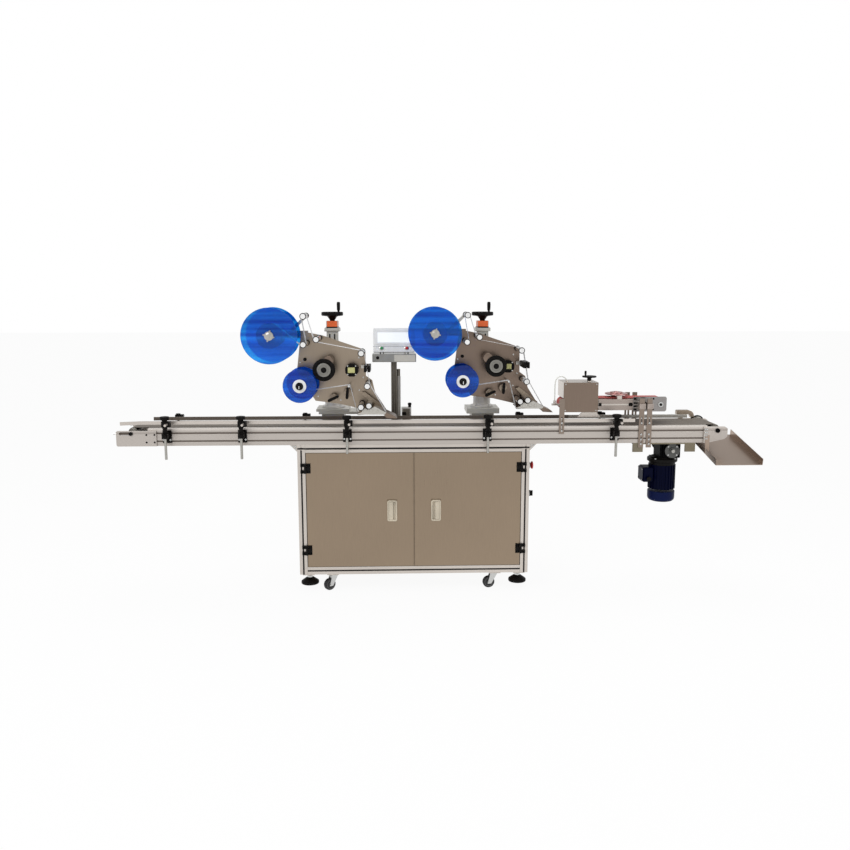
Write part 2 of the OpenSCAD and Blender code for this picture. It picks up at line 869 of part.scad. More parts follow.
module gearbox() {
    x0 = motor_x - gearbox_left;
    x1 = gearbox_x + gearbox_past;
    y1 = gearbox_y0 + gearbox_t;
    z1 = gearbox_z + gearbox_h / 2;
    color("dimgray") centred() {
        difference() {
            union() {
                block(x0, x1, gearbox_y0, y1, gearbox_z - gearbox_h / 2, z1);
                rod_y(gear_flange_r, gearbox_x, gearbox_y0 - gear_flange_t, y1, gearbox_z);
            }
            rod_y(out_shaft_r + run, gearbox_x, 0, conv_w, gearbox_z);
        }
        motor_mount(x0, x1, z1);
    }
}

// The plate under the conveyor's beams that the gearbox hangs from
module motor_mount(x0, x1, z1) {
    block(mount_x0, mount_x1, flush, conv_w, cab_z1 - mount_t, cab_z1);
    block(x0, x1, gearbox_y0, gearbox_y0 + gearbox_t, z1 + flush, cab_z1 - mount_t - flush);
    for (x = [mount_x0, mount_x1 - mount_cheek_w])
        block(x, x + mount_cheek_w, flush, mount_t, cab_z1 - mount_drop, cab_z1 - mount_t - flush);
}

module drive_motor() {
    z1 = gearbox_z - gearbox_h / 2 - flush;
    z2 = z1 - motor_flange_t;
    z3 = z2 - motor_h;
    color("midnightblue") centred() {
        rod_z(motor_flange_r, motor_x, motor_y, z2, z1);
        difference() {
            rod_z(motor_r, motor_x, motor_y, z3, z2);
            for (a = [rib_step : rib_step : 360 - rib_step]) translate([motor_x, motor_y, 0]) rotate(a)
                block(motor_r - groove_d, motor_r + over, -fork_t, fork_t, z3 - over, z2 - motor_flange_t);
        }
        rod_z(motor_r + fork_t, motor_x, motor_y, z3 - fan_h, z3);
        block(motor_x - motor_r - box_out, motor_x - motor_r + groove_d, motor_y - box_d / 2,
            motor_y + box_d / 2, z2 - box_drop - box_h, z2 - box_drop);
    }
}

// Guides

module guide_clamps() {
    color("black") centred() {
        for (q = clamp_share) clamp_set(along(q), -1);
        for (x = rear_clamps()) clamp_set(x, 1);
    }
}

// One clamp: a bracket in the groove, a post, a low clamp, a top clamp that the guide's rod slides in
module clamp_set(x, s) {
    y = s < 0 ? -post_out : conv_w + post_out;
    face = s < 0 ? -flush : conv_w + flush;
    rod_z_mid = s < 0 ? rail_z() : rear_rail_z();
    top = s < 0 ? post_z1 : rod_z_mid + clamp_s / 2;
    low = s < 0 ? [y - clamp_s / 2, face - bracket_t - flush] : [face + bracket_t + flush, y + clamp_s / 2];
    plate = s < 0 ? [face - bracket_t, face] : [face, face + bracket_t];
    block(x - bracket_w, x + bracket_w, plate[0], plate[1], cab_z1 + groove_low - groove_w,
        beam_z1 - groove_w);
    difference() {
        block(x - clamp_s / 2, x + clamp_s / 2, low[0], low[1], clamp_low_z - clamp_s / 2,
            clamp_low_z + clamp_s / 2);
        rod_z(rod_r, x, y, 0, post_z1);
    }
    over_door = abs(x) < half_w + post_out;
    front_z0 = over_door ? cab_z1 - bar + door_gap : post_z0;
    rod_z(rod_r, x, y, s < 0 ? front_z0 : cab_z1 + groove_w, top);
    difference() {
        block(x - clamp_s / 2, x + clamp_s, y - clamp_s / 2, y + clamp_s / 2, rod_z_mid - clamp_s / 2,
            rod_z_mid + clamp_s / 2);
        rod_z(rod_r, x, y, 0, post_z1 + over);
        rod_y(rod_r + run, x + clamp_s / 2, y - clamp_s, y + clamp_s, rod_z_mid);
    }
    rod_z(s < 0 ? knob_r : rear_knob_r, x, y, top, top + (s < 0 ? knob_h : rear_knob_h));
}
function rail_z() = belt_top + rail_lift + rail_h / 2;
function rear_rail_z() = belt_top + rear_rail_lift + rail_h / 2;

module front_guide() {
    z0 = belt_top + rail_lift;
    y1 = front_rail_y + rail_t;
    x0 = beam_x0 - front_rail_out;
    color("gainsboro") centred() {
        block(x0, along(front_rail_share), front_rail_y, y1, z0, z0 + rail_h);
        translate([x0, 0, z0]) linear_extrude(rail_h) polygon([[0, front_rail_y], [0, y1],
            [-flare_len, y1 - flare_out], [-flare_len, front_rail_y - flare_out]]);
        for (q = clamp_share)
            rod_y(rod_r, along(q) + clamp_s / 2, -post_out - clamp_s / 2 - rod_front, front_rail_y, rail_z());
    }
}

module rear_guide() {
    z0 = belt_top + rear_rail_lift;
    color("dimgray") centred() {
        block(beam_x0 - rear_rail_out, beam_x1 - rear_rail_in, rear_rail_y, rear_rail_y + rail_t, z0,
            z0 + rail_h);
        for (x = rear_clamps())
            rod_y(rod_r, x + clamp_s / 2, rear_rail_y + rail_t, conv_w + post_out + clamp_s / 2 + rod_front,
                rear_rail_z());
    }
}

// Discharge tray

module discharge_tray() {
    t = sheet_t;
    color("rosybrown") centred() {
        translate([tray_x0, -tray_front, tray_z]) rotate([tray_slope, 0, 0]) {
            cube([tray_w, tray_l, t]);
            cube([t, tray_front - end_t - clamp_s, tray_wall]);
            translate([tray_w - t, 0, 0]) cube([t, tray_l, tray_wall]);
        }
        for (y = [-end_t - 2 * flush - sheet_t, conv_w + end_t + 2 * flush])
            tray_strap(y);
    }
}

// A strap from the end plate down to the tray's floor
module tray_strap(y) {
    low = tray_z + (y + tray_front) * tan(tray_slope) + sheet_t;
    block(beam_x1 - strap_back, beam_x1 - strap_back + strap_w, y, y + sheet_t, low, end_right_z0 + gear_gap);
}

// Label heads: i is 0 for the first head and 1 for the second

function hx(i) = head_x + i * head_pitch;
function hy(i) = head_y + i * head_step;
function on_plate(i, s) = [hx(i) + plate_x0 + s[0] * plate_w, plate_z0 + s[1] * plate_h];

module column(i) {
    z1 = cab_z1 + flush + plinth_h;
    z2 = z1 + plinth_t;
    w = base_wide[i] / 2;
    mid = base_off[i];
    c = col_s / 2;
    color("lightgray") centred() translate([hx(i), col_y, 0]) {
        block(-pedestal_w / 2, pedestal_w / 2, -pedestal_d / 2, pedestal_d / 2, cab_z1 + flush, z1);
        block(mid - w, mid + w, -base_d / 2, base_d / 2, z1 + flush, z2);
        difference() {
            union() {
                block(-base_wide[1] / 2, base_wide[1] / 2, -base_d / 2, base_d / 2, z2 + flush,
                    z2 + plinth_t);
                rod_z(collar_r, 0, 0, z2 + plinth_t - over, z2 + collar_h);
                block(-c, c, -c, c, z2 + plinth_t - over, col_top);
            }
            block(-c + col_wall, c - col_wall, -c + col_wall, c - col_wall, z2 + plinth_t, col_top + over);
            block(-nut_tab / 2 - fit, nut_tab / 2 + fit, 0, c + over, z2 + collar_h + fit, col_top + over);
        }
        difference() {
            block(-cap_s / 2, cap_s / 2, -cap_s / 2, cap_s / 2, col_top + flush, col_top + cap_t);
            rod_z(screw_r + run, 0, 0, col_top, col_top + cap_t + over);
        }
        difference() {
            block(-counter_s / 2, counter_s / 2, -counter_s / 2, counter_s / 2, col_top + cap_t + flush,
                col_top + cap_t + counter_h);
            rod_z(screw_r + run, 0, 0, col_top, col_top + cap_t + counter_h + over);
        }
    }
}

module handwheel(i) {
    z0 = col_top + cap_t + counter_h + fit;
    z1 = z0 + cone_h;
    color("black") centred() translate([hx(i), col_y, 0]) {
        rod_z(screw_r, 0, 0, cab_z1 + plinth_h + 3 * plinth_t, z0 + over);
        translate([0, 0, z0]) cylinder(r1 = cone_r0, r2 = cone_r1, h = cone_h);
        rod_z(hand_r, 0, 0, z1, z1 + dish_t);
        rod_z(hand_grip_r, hand_grip_x, 0, z1 + dish_t, z1 + dish_t + hand_grip_h);
    }
}

module carriage(i) {
    c = carriage_s / 2;
    k = col_s / 2 + fit;
    z1 = carriage_z0 + carriage_h;
    ax = arm_x;
    color("gray") centred() translate([hx(i), col_y, 0]) {
        difference() {
            union() {
                block(-c, c, -c, c, carriage_z0, z1);
                block(ax - clamp_block_w / 2, -c + over, -c, -c + clamp_block_d, arm_z - clamp_block_w / 2,
                    arm_z + clamp_block_w / 2);
            }
            block(-k, k, -k, k, carriage_z0 - over, z1 + over);
            block(ax - arm_s / 2 - run, ax + arm_s / 2 + run, -c - over, c + over, arm_z - arm_s / 2 - run,
                arm_z + arm_s / 2 + run);
        }
        difference() {
            union() {
                rod_z(nut_r, 0, 0, arm_z - nut_h / 2, arm_z + nut_h / 2);
                block(-nut_tab / 2, nut_tab / 2, 0, k + over, arm_z - nut_h / 2, arm_z + nut_h / 2);
            }
            rod_z(screw_r + run, 0, 0, carriage_z0, z1);
        }
    }
}

module head_plate(i) {
    y0 = hy(i) + head_d;
    y1 = y0 + plate_t;
    s = on_plate(i, supply_share);
    p = on_plate(i, pivot_share);
    t = on_plate(i, takeup_share);
    d = on_plate(i, drive_share[i]);
    color("rosybrown") centred() {
        slab(y0, y1) plate_face(i, s);
        rod_y(spindle_r, s[0], hy(i) - gear_gap, y0, s[1]);
        rod_y(spindle_r, t[0], hy(i) - reel_disc_t, y0, t[1]);
        rod_y(spindle_r, d[0], hy(i) + head_d / 3, y0, d[1]);
        rod_y(roller_shaft_r, p[0], y0 - pivot_in, y0, p[1]);
        block(hx(i) + arm_x - arm_s / 2, hx(i) + arm_x + arm_s / 2, y1, y1 + arm_l, arm_z - arm_s / 2,
            arm_z + arm_s / 2);
        slab(hy(i) + peel_in, y0) polygon([for (q = peel_share) on_plate(i, q)]);
        slab(hy(i) + wedge_in, hy(i) + head_d - wedge_in)
            polygon([for (q = wedge_share) on_plate(i, q)]);
        head_stepper(i, y0);
        head_sensor(i, y0);
        for (k = [0, 1]) head_lever(i, k, y0);
    }
}

module plate_face(i, s) {
    polygon([for (q = outline_share) on_plate(i, q)]);
    e = on_plate(i, outline_share[0]);
    translate([s[0], s[1] - arm_bar_w / 2]) square([e[0] - s[0] + arm_bar_w, arm_bar_w]);
    translate(s) circle(arm_bar_w / 2);
}

module head_stepper(i, y0) {
    m = on_plate(i, motor_share);
    h = stepper_s / 2;
    c = h / 3;
    slab(y0 - stepper_h, y0 - flush) translate(m)
        polygon([[-h, -c], [-h, c], [-c, h], [c, h], [h, c], [h, -c], [c, -h], [-c, -h]]);
}

module head_sensor(i, y0) {
    m = on_plate(i, sensor_share);
    h = sensor_s / 2;
    y1 = y0 - bracket_l;
    difference() {
        block(m[0] - h, m[0] + h, hy(i) + peel_in, y1, m[1] - h, m[1] + h);
        block(m[0] - sensor_slot / 2, m[0] + sensor_slot / 2, hy(i), y1 - sensor_slot, m[1] - h - over,
            m[1] + h + over);
    }
    block(m[0] - h - gear_gap, m[0], y1 - over, y0, m[1] - h / 2, m[1] + h / 2);
}

module head_lever(i, k, y0) {
    m = on_plate(i, lever_share[k]);
    y = y0 - lever_post;
    rod_y(roller_shaft_r, m[0], y, y0, m[1]);
    slab(y - lever_t, y) translate(m) rotate(lever_turn[k]) {
        translate([-lever_l / 2, -lever_w / 2]) square([lever_l, lever_w]);
        for (e = [-lever_l / 2, lever_l / 2]) translate([e, 0]) circle(lever_w / 2);
    }
}

module supply_reel(i) {
    s = on_plate(i, supply_share);
    y = hy(i);
    back = y + reel_w - reel_disc_t;
    color("royalblue") centred() difference() {
        union() {
            rod_y(supply_r, s[0], y, y + reel_disc_t, s[1]);
            rod_y(supply_r, s[0], back, back + reel_disc_t, s[1]);
            rod_y(roll_r, s[0], y + reel_disc_t, back, s[1]);
            rod_y(hub_r, s[0], y - gear_gap / 2, y + head_d - fit, s[1]);
            for (a = [0, 90]) slab(y - gear_gap / 2, y) translate(s) rotate(a + cross_turn)
                square([2 * cross_arm_l, cross_arm_w], center = true);
        }
        rod_y(spindle_r + run, s[0], y - 2 * gear_gap, y + head_d + over, s[1]);
    }
}

module takeup_reel(i) {
    s = on_plate(i, takeup_share);
    y = hy(i);
    back = y + reel_w - reel_disc_t;
    color("royalblue") centred() {
        difference() {
            union() {
                rod_y(takeup_r, s[0], y, y + reel_disc_t, s[1]);
                rod_y(takeup_r, s[0], back, back + reel_disc_t, s[1]);
                rod_y(waste_r, s[0], y + reel_disc_t, back, s[1]);
                rod_y(core_r, s[0], y - core_gap, y + head_d - fit, s[1]);
            }
            rod_y(spindle_r + run, s[0], y - core_gap + over, y + head_d + over, s[1]);
        }
        rod_y(takeup_knob_r, s[0], y - core_gap - takeup_knob_h, y - core_gap, s[1]);
    }
}

module dancer(i) {
    p = on_plate(i, pivot_share);
    r = on_plate(i, dancer_share);
    y1 = hy(i) + head_d - dancer_in + dancer_bar_t;
    y0 = y1 - dancer_bar_t;
    lean = atan2(r[1] - p[1], r[0] - p[0]);
    color("silver") centred() {
        difference() {
            slab(y0, y1) {
                for (q = [p, r]) translate(q) circle(dancer_bar_w / 2);
                translate(p) rotate(lean) translate([0, -dancer_bar_w / 2])
                    square([norm(r - p), dancer_bar_w]);
            }
            rod_y(roller_shaft_r + run, p[0], y0 - over, y1 + over, p[1]);
        }
        rod_y(roller_r, r[0], hy(i) + roller_cap, y0, r[1]);
        rod_y(roller_cap_r, r[0], hy(i), hy(i) + roller_cap, r[1]);
    }
}

module drive_roller(i) {
    s = on_plate(i, drive_share[i]);
    y1 = hy(i) + head_d - fit;
    y0 = hy(i) + head_d / 3;
    color("black") centred() difference() {
        union() {
            rod_y(ring_r, s[0], y0, y0 + ring_t, s[1]);
            rod_y(drive_tube_r, s[0], y0 + ring_t, y1, s[1]);
        }
        rod_y(ring_r - ring_t / 2, s[0], y0 - over, y0 + ring_t / 2, s[1]);
        rod_y(spindle_r + run, s[0], y0 - over, y1 + over, s[1]);
    }
}

module rollers(i) {
    y0 = hy(i);
    y1 = y0 + head_d;
    color("silver") centred() for (q = roller_share) {
        s = on_plate(i, q);
        rod_y(roller_cap_r, s[0], y0, y0 + roller_cap, s[1]);
        rod_y(roller_r, s[0], y0 + roller_cap, y1 - roller_cap, s[1]);
        rod_y(roller_shaft_r, s[0], y1 - roller_cap, y1 - flush, s[1]);
    }
}

module left_column() { column(0); }
module left_handwheel() { handwheel(0); }
module left_carriage() { carriage(0); }
module left_head_plate() { head_plate(0); }
module left_supply_reel() { supply_reel(0); }
module left_takeup_reel() { takeup_reel(0); }
module left_dancer() { dancer(0); }
module left_drive_roller() { drive_roller(0); }
module left_rollers() { rollers(0); }
module right_column() { column(1); }
module right_handwheel() { handwheel(1); }
module right_carriage() { carriage(1); }
module right_head_plate() { head_plate(1); }
module right_supply_reel() { supply_reel(1); }
module right_takeup_reel() { takeup_reel(1); }
module right_dancer() { dancer(1); }
module right_drive_roller() { drive_roller(1); }
module right_rollers() { rollers(1); }

// Touch panel

module panel_post() {
    color("gray") centred() {
        block(post_x - post_w / 2, post_x + post_w / 2, post_y, post_y + post_d, cab_z1 + flush,
            desk_z - desk_h);
        block(post_x - post_w, post_x + post_w, post_y - post_d / 2, post_y + 1.5 * post_d, cab_z1 + flush,
            cab_z1 + base_t);
        block(desk_x - desk_w / 2, desk_x + desk_w / 2, desk_y, desk_y + desk_d, desk_z - desk_h + flush,
            desk_z);
        for (s = [-1, 1]) {
            x = desk_x + s * ear_x;
            block(x - ear_t / 2, x + ear_t / 2, tilt_y - tilt_r, tilt_y + tilt_r, desk_z - over,
                tilt_z + tilt_r);
        }
        rod_x(pin_r, desk_x - ear_x - 2 * ear_t, desk_x + ear_x + 2 * ear_t, tilt_y, tilt_z);
        rod_z(conduit_r, post_x + post_w / 2 + conduit_r + flush, post_y + post_d / 2,
            cab_z1 + base_t + flush,
            cab_z1 + base_t + 2 * conduit_h);
        eye_x = post_x + post_w + conduit_r;
        block(eye_x, eye_x + eye_w, post_y, post_y + post_d, cab_z1 + flush, cab_z1 + pedestal_h + eye_h);
        rod_z(eye_stem_r, eye_x + eye_w - eye_stem_r, post_y + post_d / 2, cab_z1 + pedestal_h + eye_h,
            cab_z1 + pedestal_h + eye_h + eye_stem_h);
    }
}

// Drawn upright about the tilt pin, then leaned back
module in_panel() {
    translate([desk_x, tilt_y, tilt_z]) rotate([-panel_lean, 0, 0]) children();
}

module touch_panel() {
    color("white") centred() in_panel() difference() {
        block(-panel_w / 2, panel_w / 2, -panel_back - panel_t, -panel_back, -panel_low, panel_h);
        for (s = [-1, 1]) rod_y(button_r + run, s * (panel_w / 2 - button_in), -panel_back - panel_t - over,
            -panel_back - panel_t / 2, button_z);
        block(-panel_w / 2 + screen_rim, panel_w / 2 - screen_rim, -panel_back - panel_t - over,
            -panel_back - panel_t + fork_t, strip_h + screen_rim / 2, panel_h - screen_rim / 2);
    }
    color("white") centred() in_panel() for (s = [-1, 1]) difference() {
        x0 = s * (ear_x + ear_t + fit);
        block(x0 - ear_t / 2, x0 + ear_t / 2, -panel_back - over, tilt_r, -tilt_r / 2, tilt_r);
        rod_x(pin_r + run, -desk_w, desk_w, 0, 0);
    }
}

module panel_button(s) {
    y = -panel_back - panel_t;
    in_panel() rod_y(button_r, s * (panel_w / 2 - button_in), y - button_h, y + button_h, button_z);
}
module green_button() { color("mediumseagreen") centred() panel_button(-1); }
module red_button() { color("crimson") centred() panel_button(1); }

// Press belt

module slotted_bar(x, w, y, z0, z1) {
    difference() {
        block(x, x + w, y, y + slotted_t, z0, z1);
        for (z = [z0 + 2 * slot_w, beam_z1 + slot_w])
            block(x + w / 2 - slot_w / 2, x + w / 2 + slot_w / 2, y - over, y + slotted_t + over, z,
                min(z + 6 * slot_w, z1 - slot_w));
    }
}

module press_bars() {
    color("gainsboro") centred() {
        for (x = slotted_x, y = [bar_y_front, conv_w + flush])
            slotted_bar(x, slotted_w, y, slotted_z0, slotted_z1);
        slotted_bar(left_bar_x, slotted_w, bar_y_front, left_bar_z0, slotted_z1);
    }
}

module press_cheek(y) {
    translate([cheek_x0, y, cheek_z]) rotate([90, 0, 90]) linear_extrude(cheek_x1 - cheek_x0) difference() {
        square([cheek_t, cheek_h]);
        for (x = [-over, cheek_t - groove_d])
            translate([x, cheek_h / 2 - groove_w / 2]) square([groove_d + over, groove_w]);
    }
}

module press_tail(y) {
    difference() {
        slab(y, y + tail_t) polygon([[cheek_x1 + flush, cheek_z], [tail_x1 - end_nose, cheek_z],
            [tail_x1, cheek_z + end_nose], [tail_x1, cheek_z + cheek_h - end_nose],
            [tail_x1 - end_nose, cheek_z + cheek_h], [cheek_x1 + flush, cheek_z + cheek_h]]);
        rod_y(axle_r + run, press_x1, y - over, y + tail_t + over, press_z);
    }
}

// The unit's own frame: two cheeks, end plates, sliders, side plates, discs and the cover
module press_frame() {
    color("rosybrown") centred() {
        for (y = [cheek_front, cheek_rear]) press_cheek(y);
        press_tail(cheek_front);
        press_tail(cheek_rear + cheek_t - tail_t);
        for (x = slotted_x) {
            press_slider(x, fit, cheek_front - flush);
            press_slider(x, cheek_rear + cheek_t + flush, conv_w - fit);
        }
        for (y = [side_front, cheek_rear]) press_side(y);
        press_discs();
        press_cover();
        cable_arm();
    }
}

module press_slider(x, y0, y1) {
    block(x, x + slotted_w, y0, y1, press_z - slider_h / 2, press_z + slider_h / 2);
}

// Side plates that hold the left pulley's axle, with a post up to the cover's top
module press_side(y) {
    difference() {
        block(press_x0 - side_h / 2, cheek_x0 - flush, y, y + tail_t, press_z - side_h / 2,
            press_z + side_h / 2);
        rod_y(axle_r + run, press_x0, y - over, y + tail_t + over, press_z);
    }
    block(post_at, post_at + side_h / 2, y, y + tail_t, press_z + side_h / 2 - over,
        cover_z + cover_h - sheet_t - flush);
}

// A bridge over the cheeks with the two discs on it
module press_discs() {
    z0 = cheek_z + cheek_h;
    z1 = z0 + disc_gap;
    for (y = [cheek_front, cheek_rear])
        block(disc_x - side_h / 2, disc_x + side_h / 2, y, y + cheek_t, z0 + flush, z1);
    block(disc_x - side_h / 2, disc_x + side_h / 2, cheek_front, cheek_rear + cheek_t, z1 + flush,
        z1 + disc_t);
    rod_z(disc_big_r, disc_x, press_y, z1 + disc_t + flush, z1 + 2 * disc_t);
    rod_z(disc_small_r, disc_x, press_y, z1 + 2 * disc_t, z1 + 3 * disc_t);
}

module press_cover() {
    x1 = cover_x0 + cover_w;
    y1 = cover_y + cover_d;
    z0 = press_z + pulley_r + 2 * press_t;
    z1 = cover_z + cover_h;
    t = sheet_t;
    difference() {
        block(cover_x0, x1, cover_y, y1, z0, z1);
        block(cover_x0 + t, x1 - t, cover_y + t, y1 - t, z0 - over, z1 - t);
        rod_z(press_screw_r + run, press_hand_x, press_hand_y, z0, z1 + over);
    }
    block(cover_x0, x1, cover_y, cover_y + t, cover_z, z0 - flush);
    difference() {
        rod_z(2 * press_screw_r, press_hand_x, press_hand_y, z1 + flush, z1 + press_screw_r);
        rod_z(press_screw_r + run, press_hand_x, press_hand_y, z1, z1 + press_stem_h);
    }
    rod_z(gland_r, cable_route[cable_last][0], cable_route[cable_last][1], z1, cable_route[cable_last][2]);
}

// The arm with the lower gland of the unit's cable
module cable_arm() {
    h = cable_arm_h / 2;
    block(cable_arm_x0, press_x0 - side_h / 2 + over, side_front, side_front + tail_t, press_z - h,
        press_z + h);
    rod_z(gland_r, cable_route[0][0], cable_route[0][1], press_z + h - over, cable_route[0][2]);
}

// A round cable along a route that stays in one plane of X and Z
module press_cable() {
    n = cable_sides;
    color("white") centred() polyhedron(
        points = [for (k = [0 : cable_last], j = [0 : n - 1]) ring_point(cable_route, k, 360 * j / n)],
        faces = concat([[for (j = [0 : n - 1]) j]],
            [for (k = [0 : cable_last - 1], j = [0 : n - 1])
                [k * n + j, k * n + n + j, k * n + (j + 1) % n]],
            [for (k = [0 : cable_last - 1], j = [0 : n - 1])
                [k * n + n + j, k * n + n + (j + 1) % n, k * n + (j + 1) % n]],
            [[for (j = [n - 1 : -1 : 0]) cable_last * n + j]]));
}
function heading(route, k) =
    k == 0 || k == len(route) - 1 ? [0, 0, k == 0 ? 1 : -1]
    : let (d = route[k + 1] - route[k - 1]) d / norm(d);
function ring_point(route, k, a) = let (d = heading(route, k))
    route[k] + cable_r * (cos(a) * [d[2], 0, -d[0]] + sin(a) * [0, 1, 0]);

module press_belt() {
    color("indianred") centred()
        loop(press_x0, press_x1, press_z, pulley_r + flush, press_t - flush, press_y0, press_y1);
}

module press_pulley(x) {
    rod_y(pulley_r, x, press_y0, press_y1, press_z);
    rod_y(axle_r, x, cheek_front, cheek_rear + cheek_t, press_z);
}
module press_pulley_left() { color("silver") centred() press_pulley(press_x0); }
module press_pulley_right() { color("silver") centred() press_pulley(press_x1); }

module press_handwheel() {
    z0 = cover_z + cover_h + press_screw_r + fit;
    z1 = z0 + press_stem_h;
    color("black") centred() translate([press_hand_x, press_hand_y, 0]) {
        rod_z(press_screw_r, 0, 0, z0 - gear_gap, z0 + over);
        rod_z(2 * press_screw_r, 0, 0, z0, z1);
        rod_z(press_hand_r, 0, 0, z1, z1 + press_dish_t);
        rod_z(press_screw_r, -gear_gap, 0, z1 + press_dish_t, z1 + press_dish_t + press_grip_h);
    }
}

cabinet_frame();
cabinet_panels();
door_hinges();
levelling_feet();
control_gear();
conveyor_frame();
conveyor_bed();
conveyor_belt();
drive_motor();
gearbox();
drive_chain();
guide_clamps();
panel_post();
press_bars();
left_door();
right_door();
front_left_fork();
front_right_fork();
rear_left_fork();
rear_right_fork();
front_left_wheel();
front_right_wheel();
rear_left_wheel();
rear_right_wheel();
stop_button();
power_switch();
drive_drum();
idler_drum();
gearbox_sprocket();
front_guide();
rear_guide();
discharge_tray();
touch_panel();
green_button();
red_button();
press_frame();
press_belt();
press_pulley_left();
press_pulley_right();
press_handwheel();
press_cable();
left_column();
left_handwheel();
left_carriage();
left_head_plate();
left_supply_reel();
left_takeup_reel();
left_dancer();
left_drive_roller();
left_rollers();
right_column();
right_handwheel();
right_carriage();
right_head_plate();
right_supply_reel();
right_takeup_reel();
right_dancer();
right_drive_roller();
right_rollers();
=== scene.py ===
"""Looks of the flat surface labeling machine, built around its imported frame."""

import json
import math

import bpy
from mathutils import Matrix, Vector

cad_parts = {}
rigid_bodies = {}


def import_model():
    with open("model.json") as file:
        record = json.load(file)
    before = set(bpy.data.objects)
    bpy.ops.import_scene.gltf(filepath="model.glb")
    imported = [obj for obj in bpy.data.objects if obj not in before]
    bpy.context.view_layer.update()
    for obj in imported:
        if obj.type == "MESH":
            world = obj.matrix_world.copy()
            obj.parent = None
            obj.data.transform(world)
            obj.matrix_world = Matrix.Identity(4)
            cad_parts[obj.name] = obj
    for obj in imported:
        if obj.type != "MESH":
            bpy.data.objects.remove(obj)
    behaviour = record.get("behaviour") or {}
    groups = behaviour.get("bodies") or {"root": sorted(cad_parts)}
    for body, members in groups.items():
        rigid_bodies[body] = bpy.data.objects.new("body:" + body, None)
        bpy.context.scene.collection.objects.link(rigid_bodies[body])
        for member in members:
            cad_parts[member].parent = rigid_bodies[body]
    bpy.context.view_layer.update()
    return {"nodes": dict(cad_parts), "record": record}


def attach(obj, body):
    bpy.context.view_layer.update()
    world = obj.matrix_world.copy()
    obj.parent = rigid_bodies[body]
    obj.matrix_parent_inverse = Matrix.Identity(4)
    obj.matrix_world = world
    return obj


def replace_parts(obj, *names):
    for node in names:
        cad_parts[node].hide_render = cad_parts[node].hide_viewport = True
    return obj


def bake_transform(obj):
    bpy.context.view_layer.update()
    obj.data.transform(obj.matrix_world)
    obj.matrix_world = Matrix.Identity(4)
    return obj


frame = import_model()

MM = 0.001

# Camera and places

# Drawing's X from the cabinet's middle and Y from its front face, to the frame's own
CENTRE_X = 105.5
CENTRE_Y = 201.947
IMAGE_SIDE = 850
LENS_PIXELS = 837.9
SENSOR_WIDTH = 36
CAMERA_PLACE = (-82.3, -4176.5, 1533)
CAMERA_DOWN = 8.889
CAMERA_RIGHT = 1.898
CAMERA_ROLL = 0.026


def at(x, y, z):
    """A place of the drawing, in millimetres, as a point of the frame."""
    return Vector(((x - CENTRE_X) * MM, (y - CENTRE_Y) * MM, z * MM))


def link(name, data):
    """A new object of the scene."""
    made = bpy.data.objects.new(name, data)
    bpy.context.scene.collection.objects.link(made)
    return made


def make_camera():
    data = bpy.data.cameras.new("camera")
    data.sensor_width = SENSOR_WIDTH
    data.lens = LENS_PIXELS / IMAGE_SIDE * SENSOR_WIDTH
    camera = link("camera", data)
    camera.location = at(*CAMERA_PLACE)
    turn = Matrix.Rotation(math.radians(-CAMERA_RIGHT), 4, "Z")
    turn = turn @ Matrix.Rotation(math.radians(90 - CAMERA_DOWN), 4, "X")
    turn = turn @ Matrix.Rotation(math.radians(-CAMERA_ROLL), 4, "Z")
    camera.rotation_euler = turn.to_euler()
    bpy.context.scene.camera = camera


make_camera()

# Finishes


class Value:
    """A socket of a material, with the operators that its sums use."""

    def __init__(self, made, socket):
        self.made = made
        self.socket = socket

    def sum_with(self, operation, other, swapped=False):
        first, second = (other, self) if swapped else (self, other)
        return self.made.node("ShaderNodeMath", dict(operation=operation), {0: first, 1: second})

    def __add__(self, other):
        return self.sum_with("ADD", other)

    __radd__ = __add__

    def __mul__(self, other):
        return self.sum_with("MULTIPLY", other)

    __rmul__ = __mul__

    def __sub__(self, other):
        return self.sum_with("SUBTRACT", other)

    def __rsub__(self, other):
        return self.sum_with("SUBTRACT", other, swapped=True)

    def above(self, other):
        return self.sum_with("GREATER_THAN", other)

    def below(self, other):
        return self.sum_with("LESS_THAN", other)


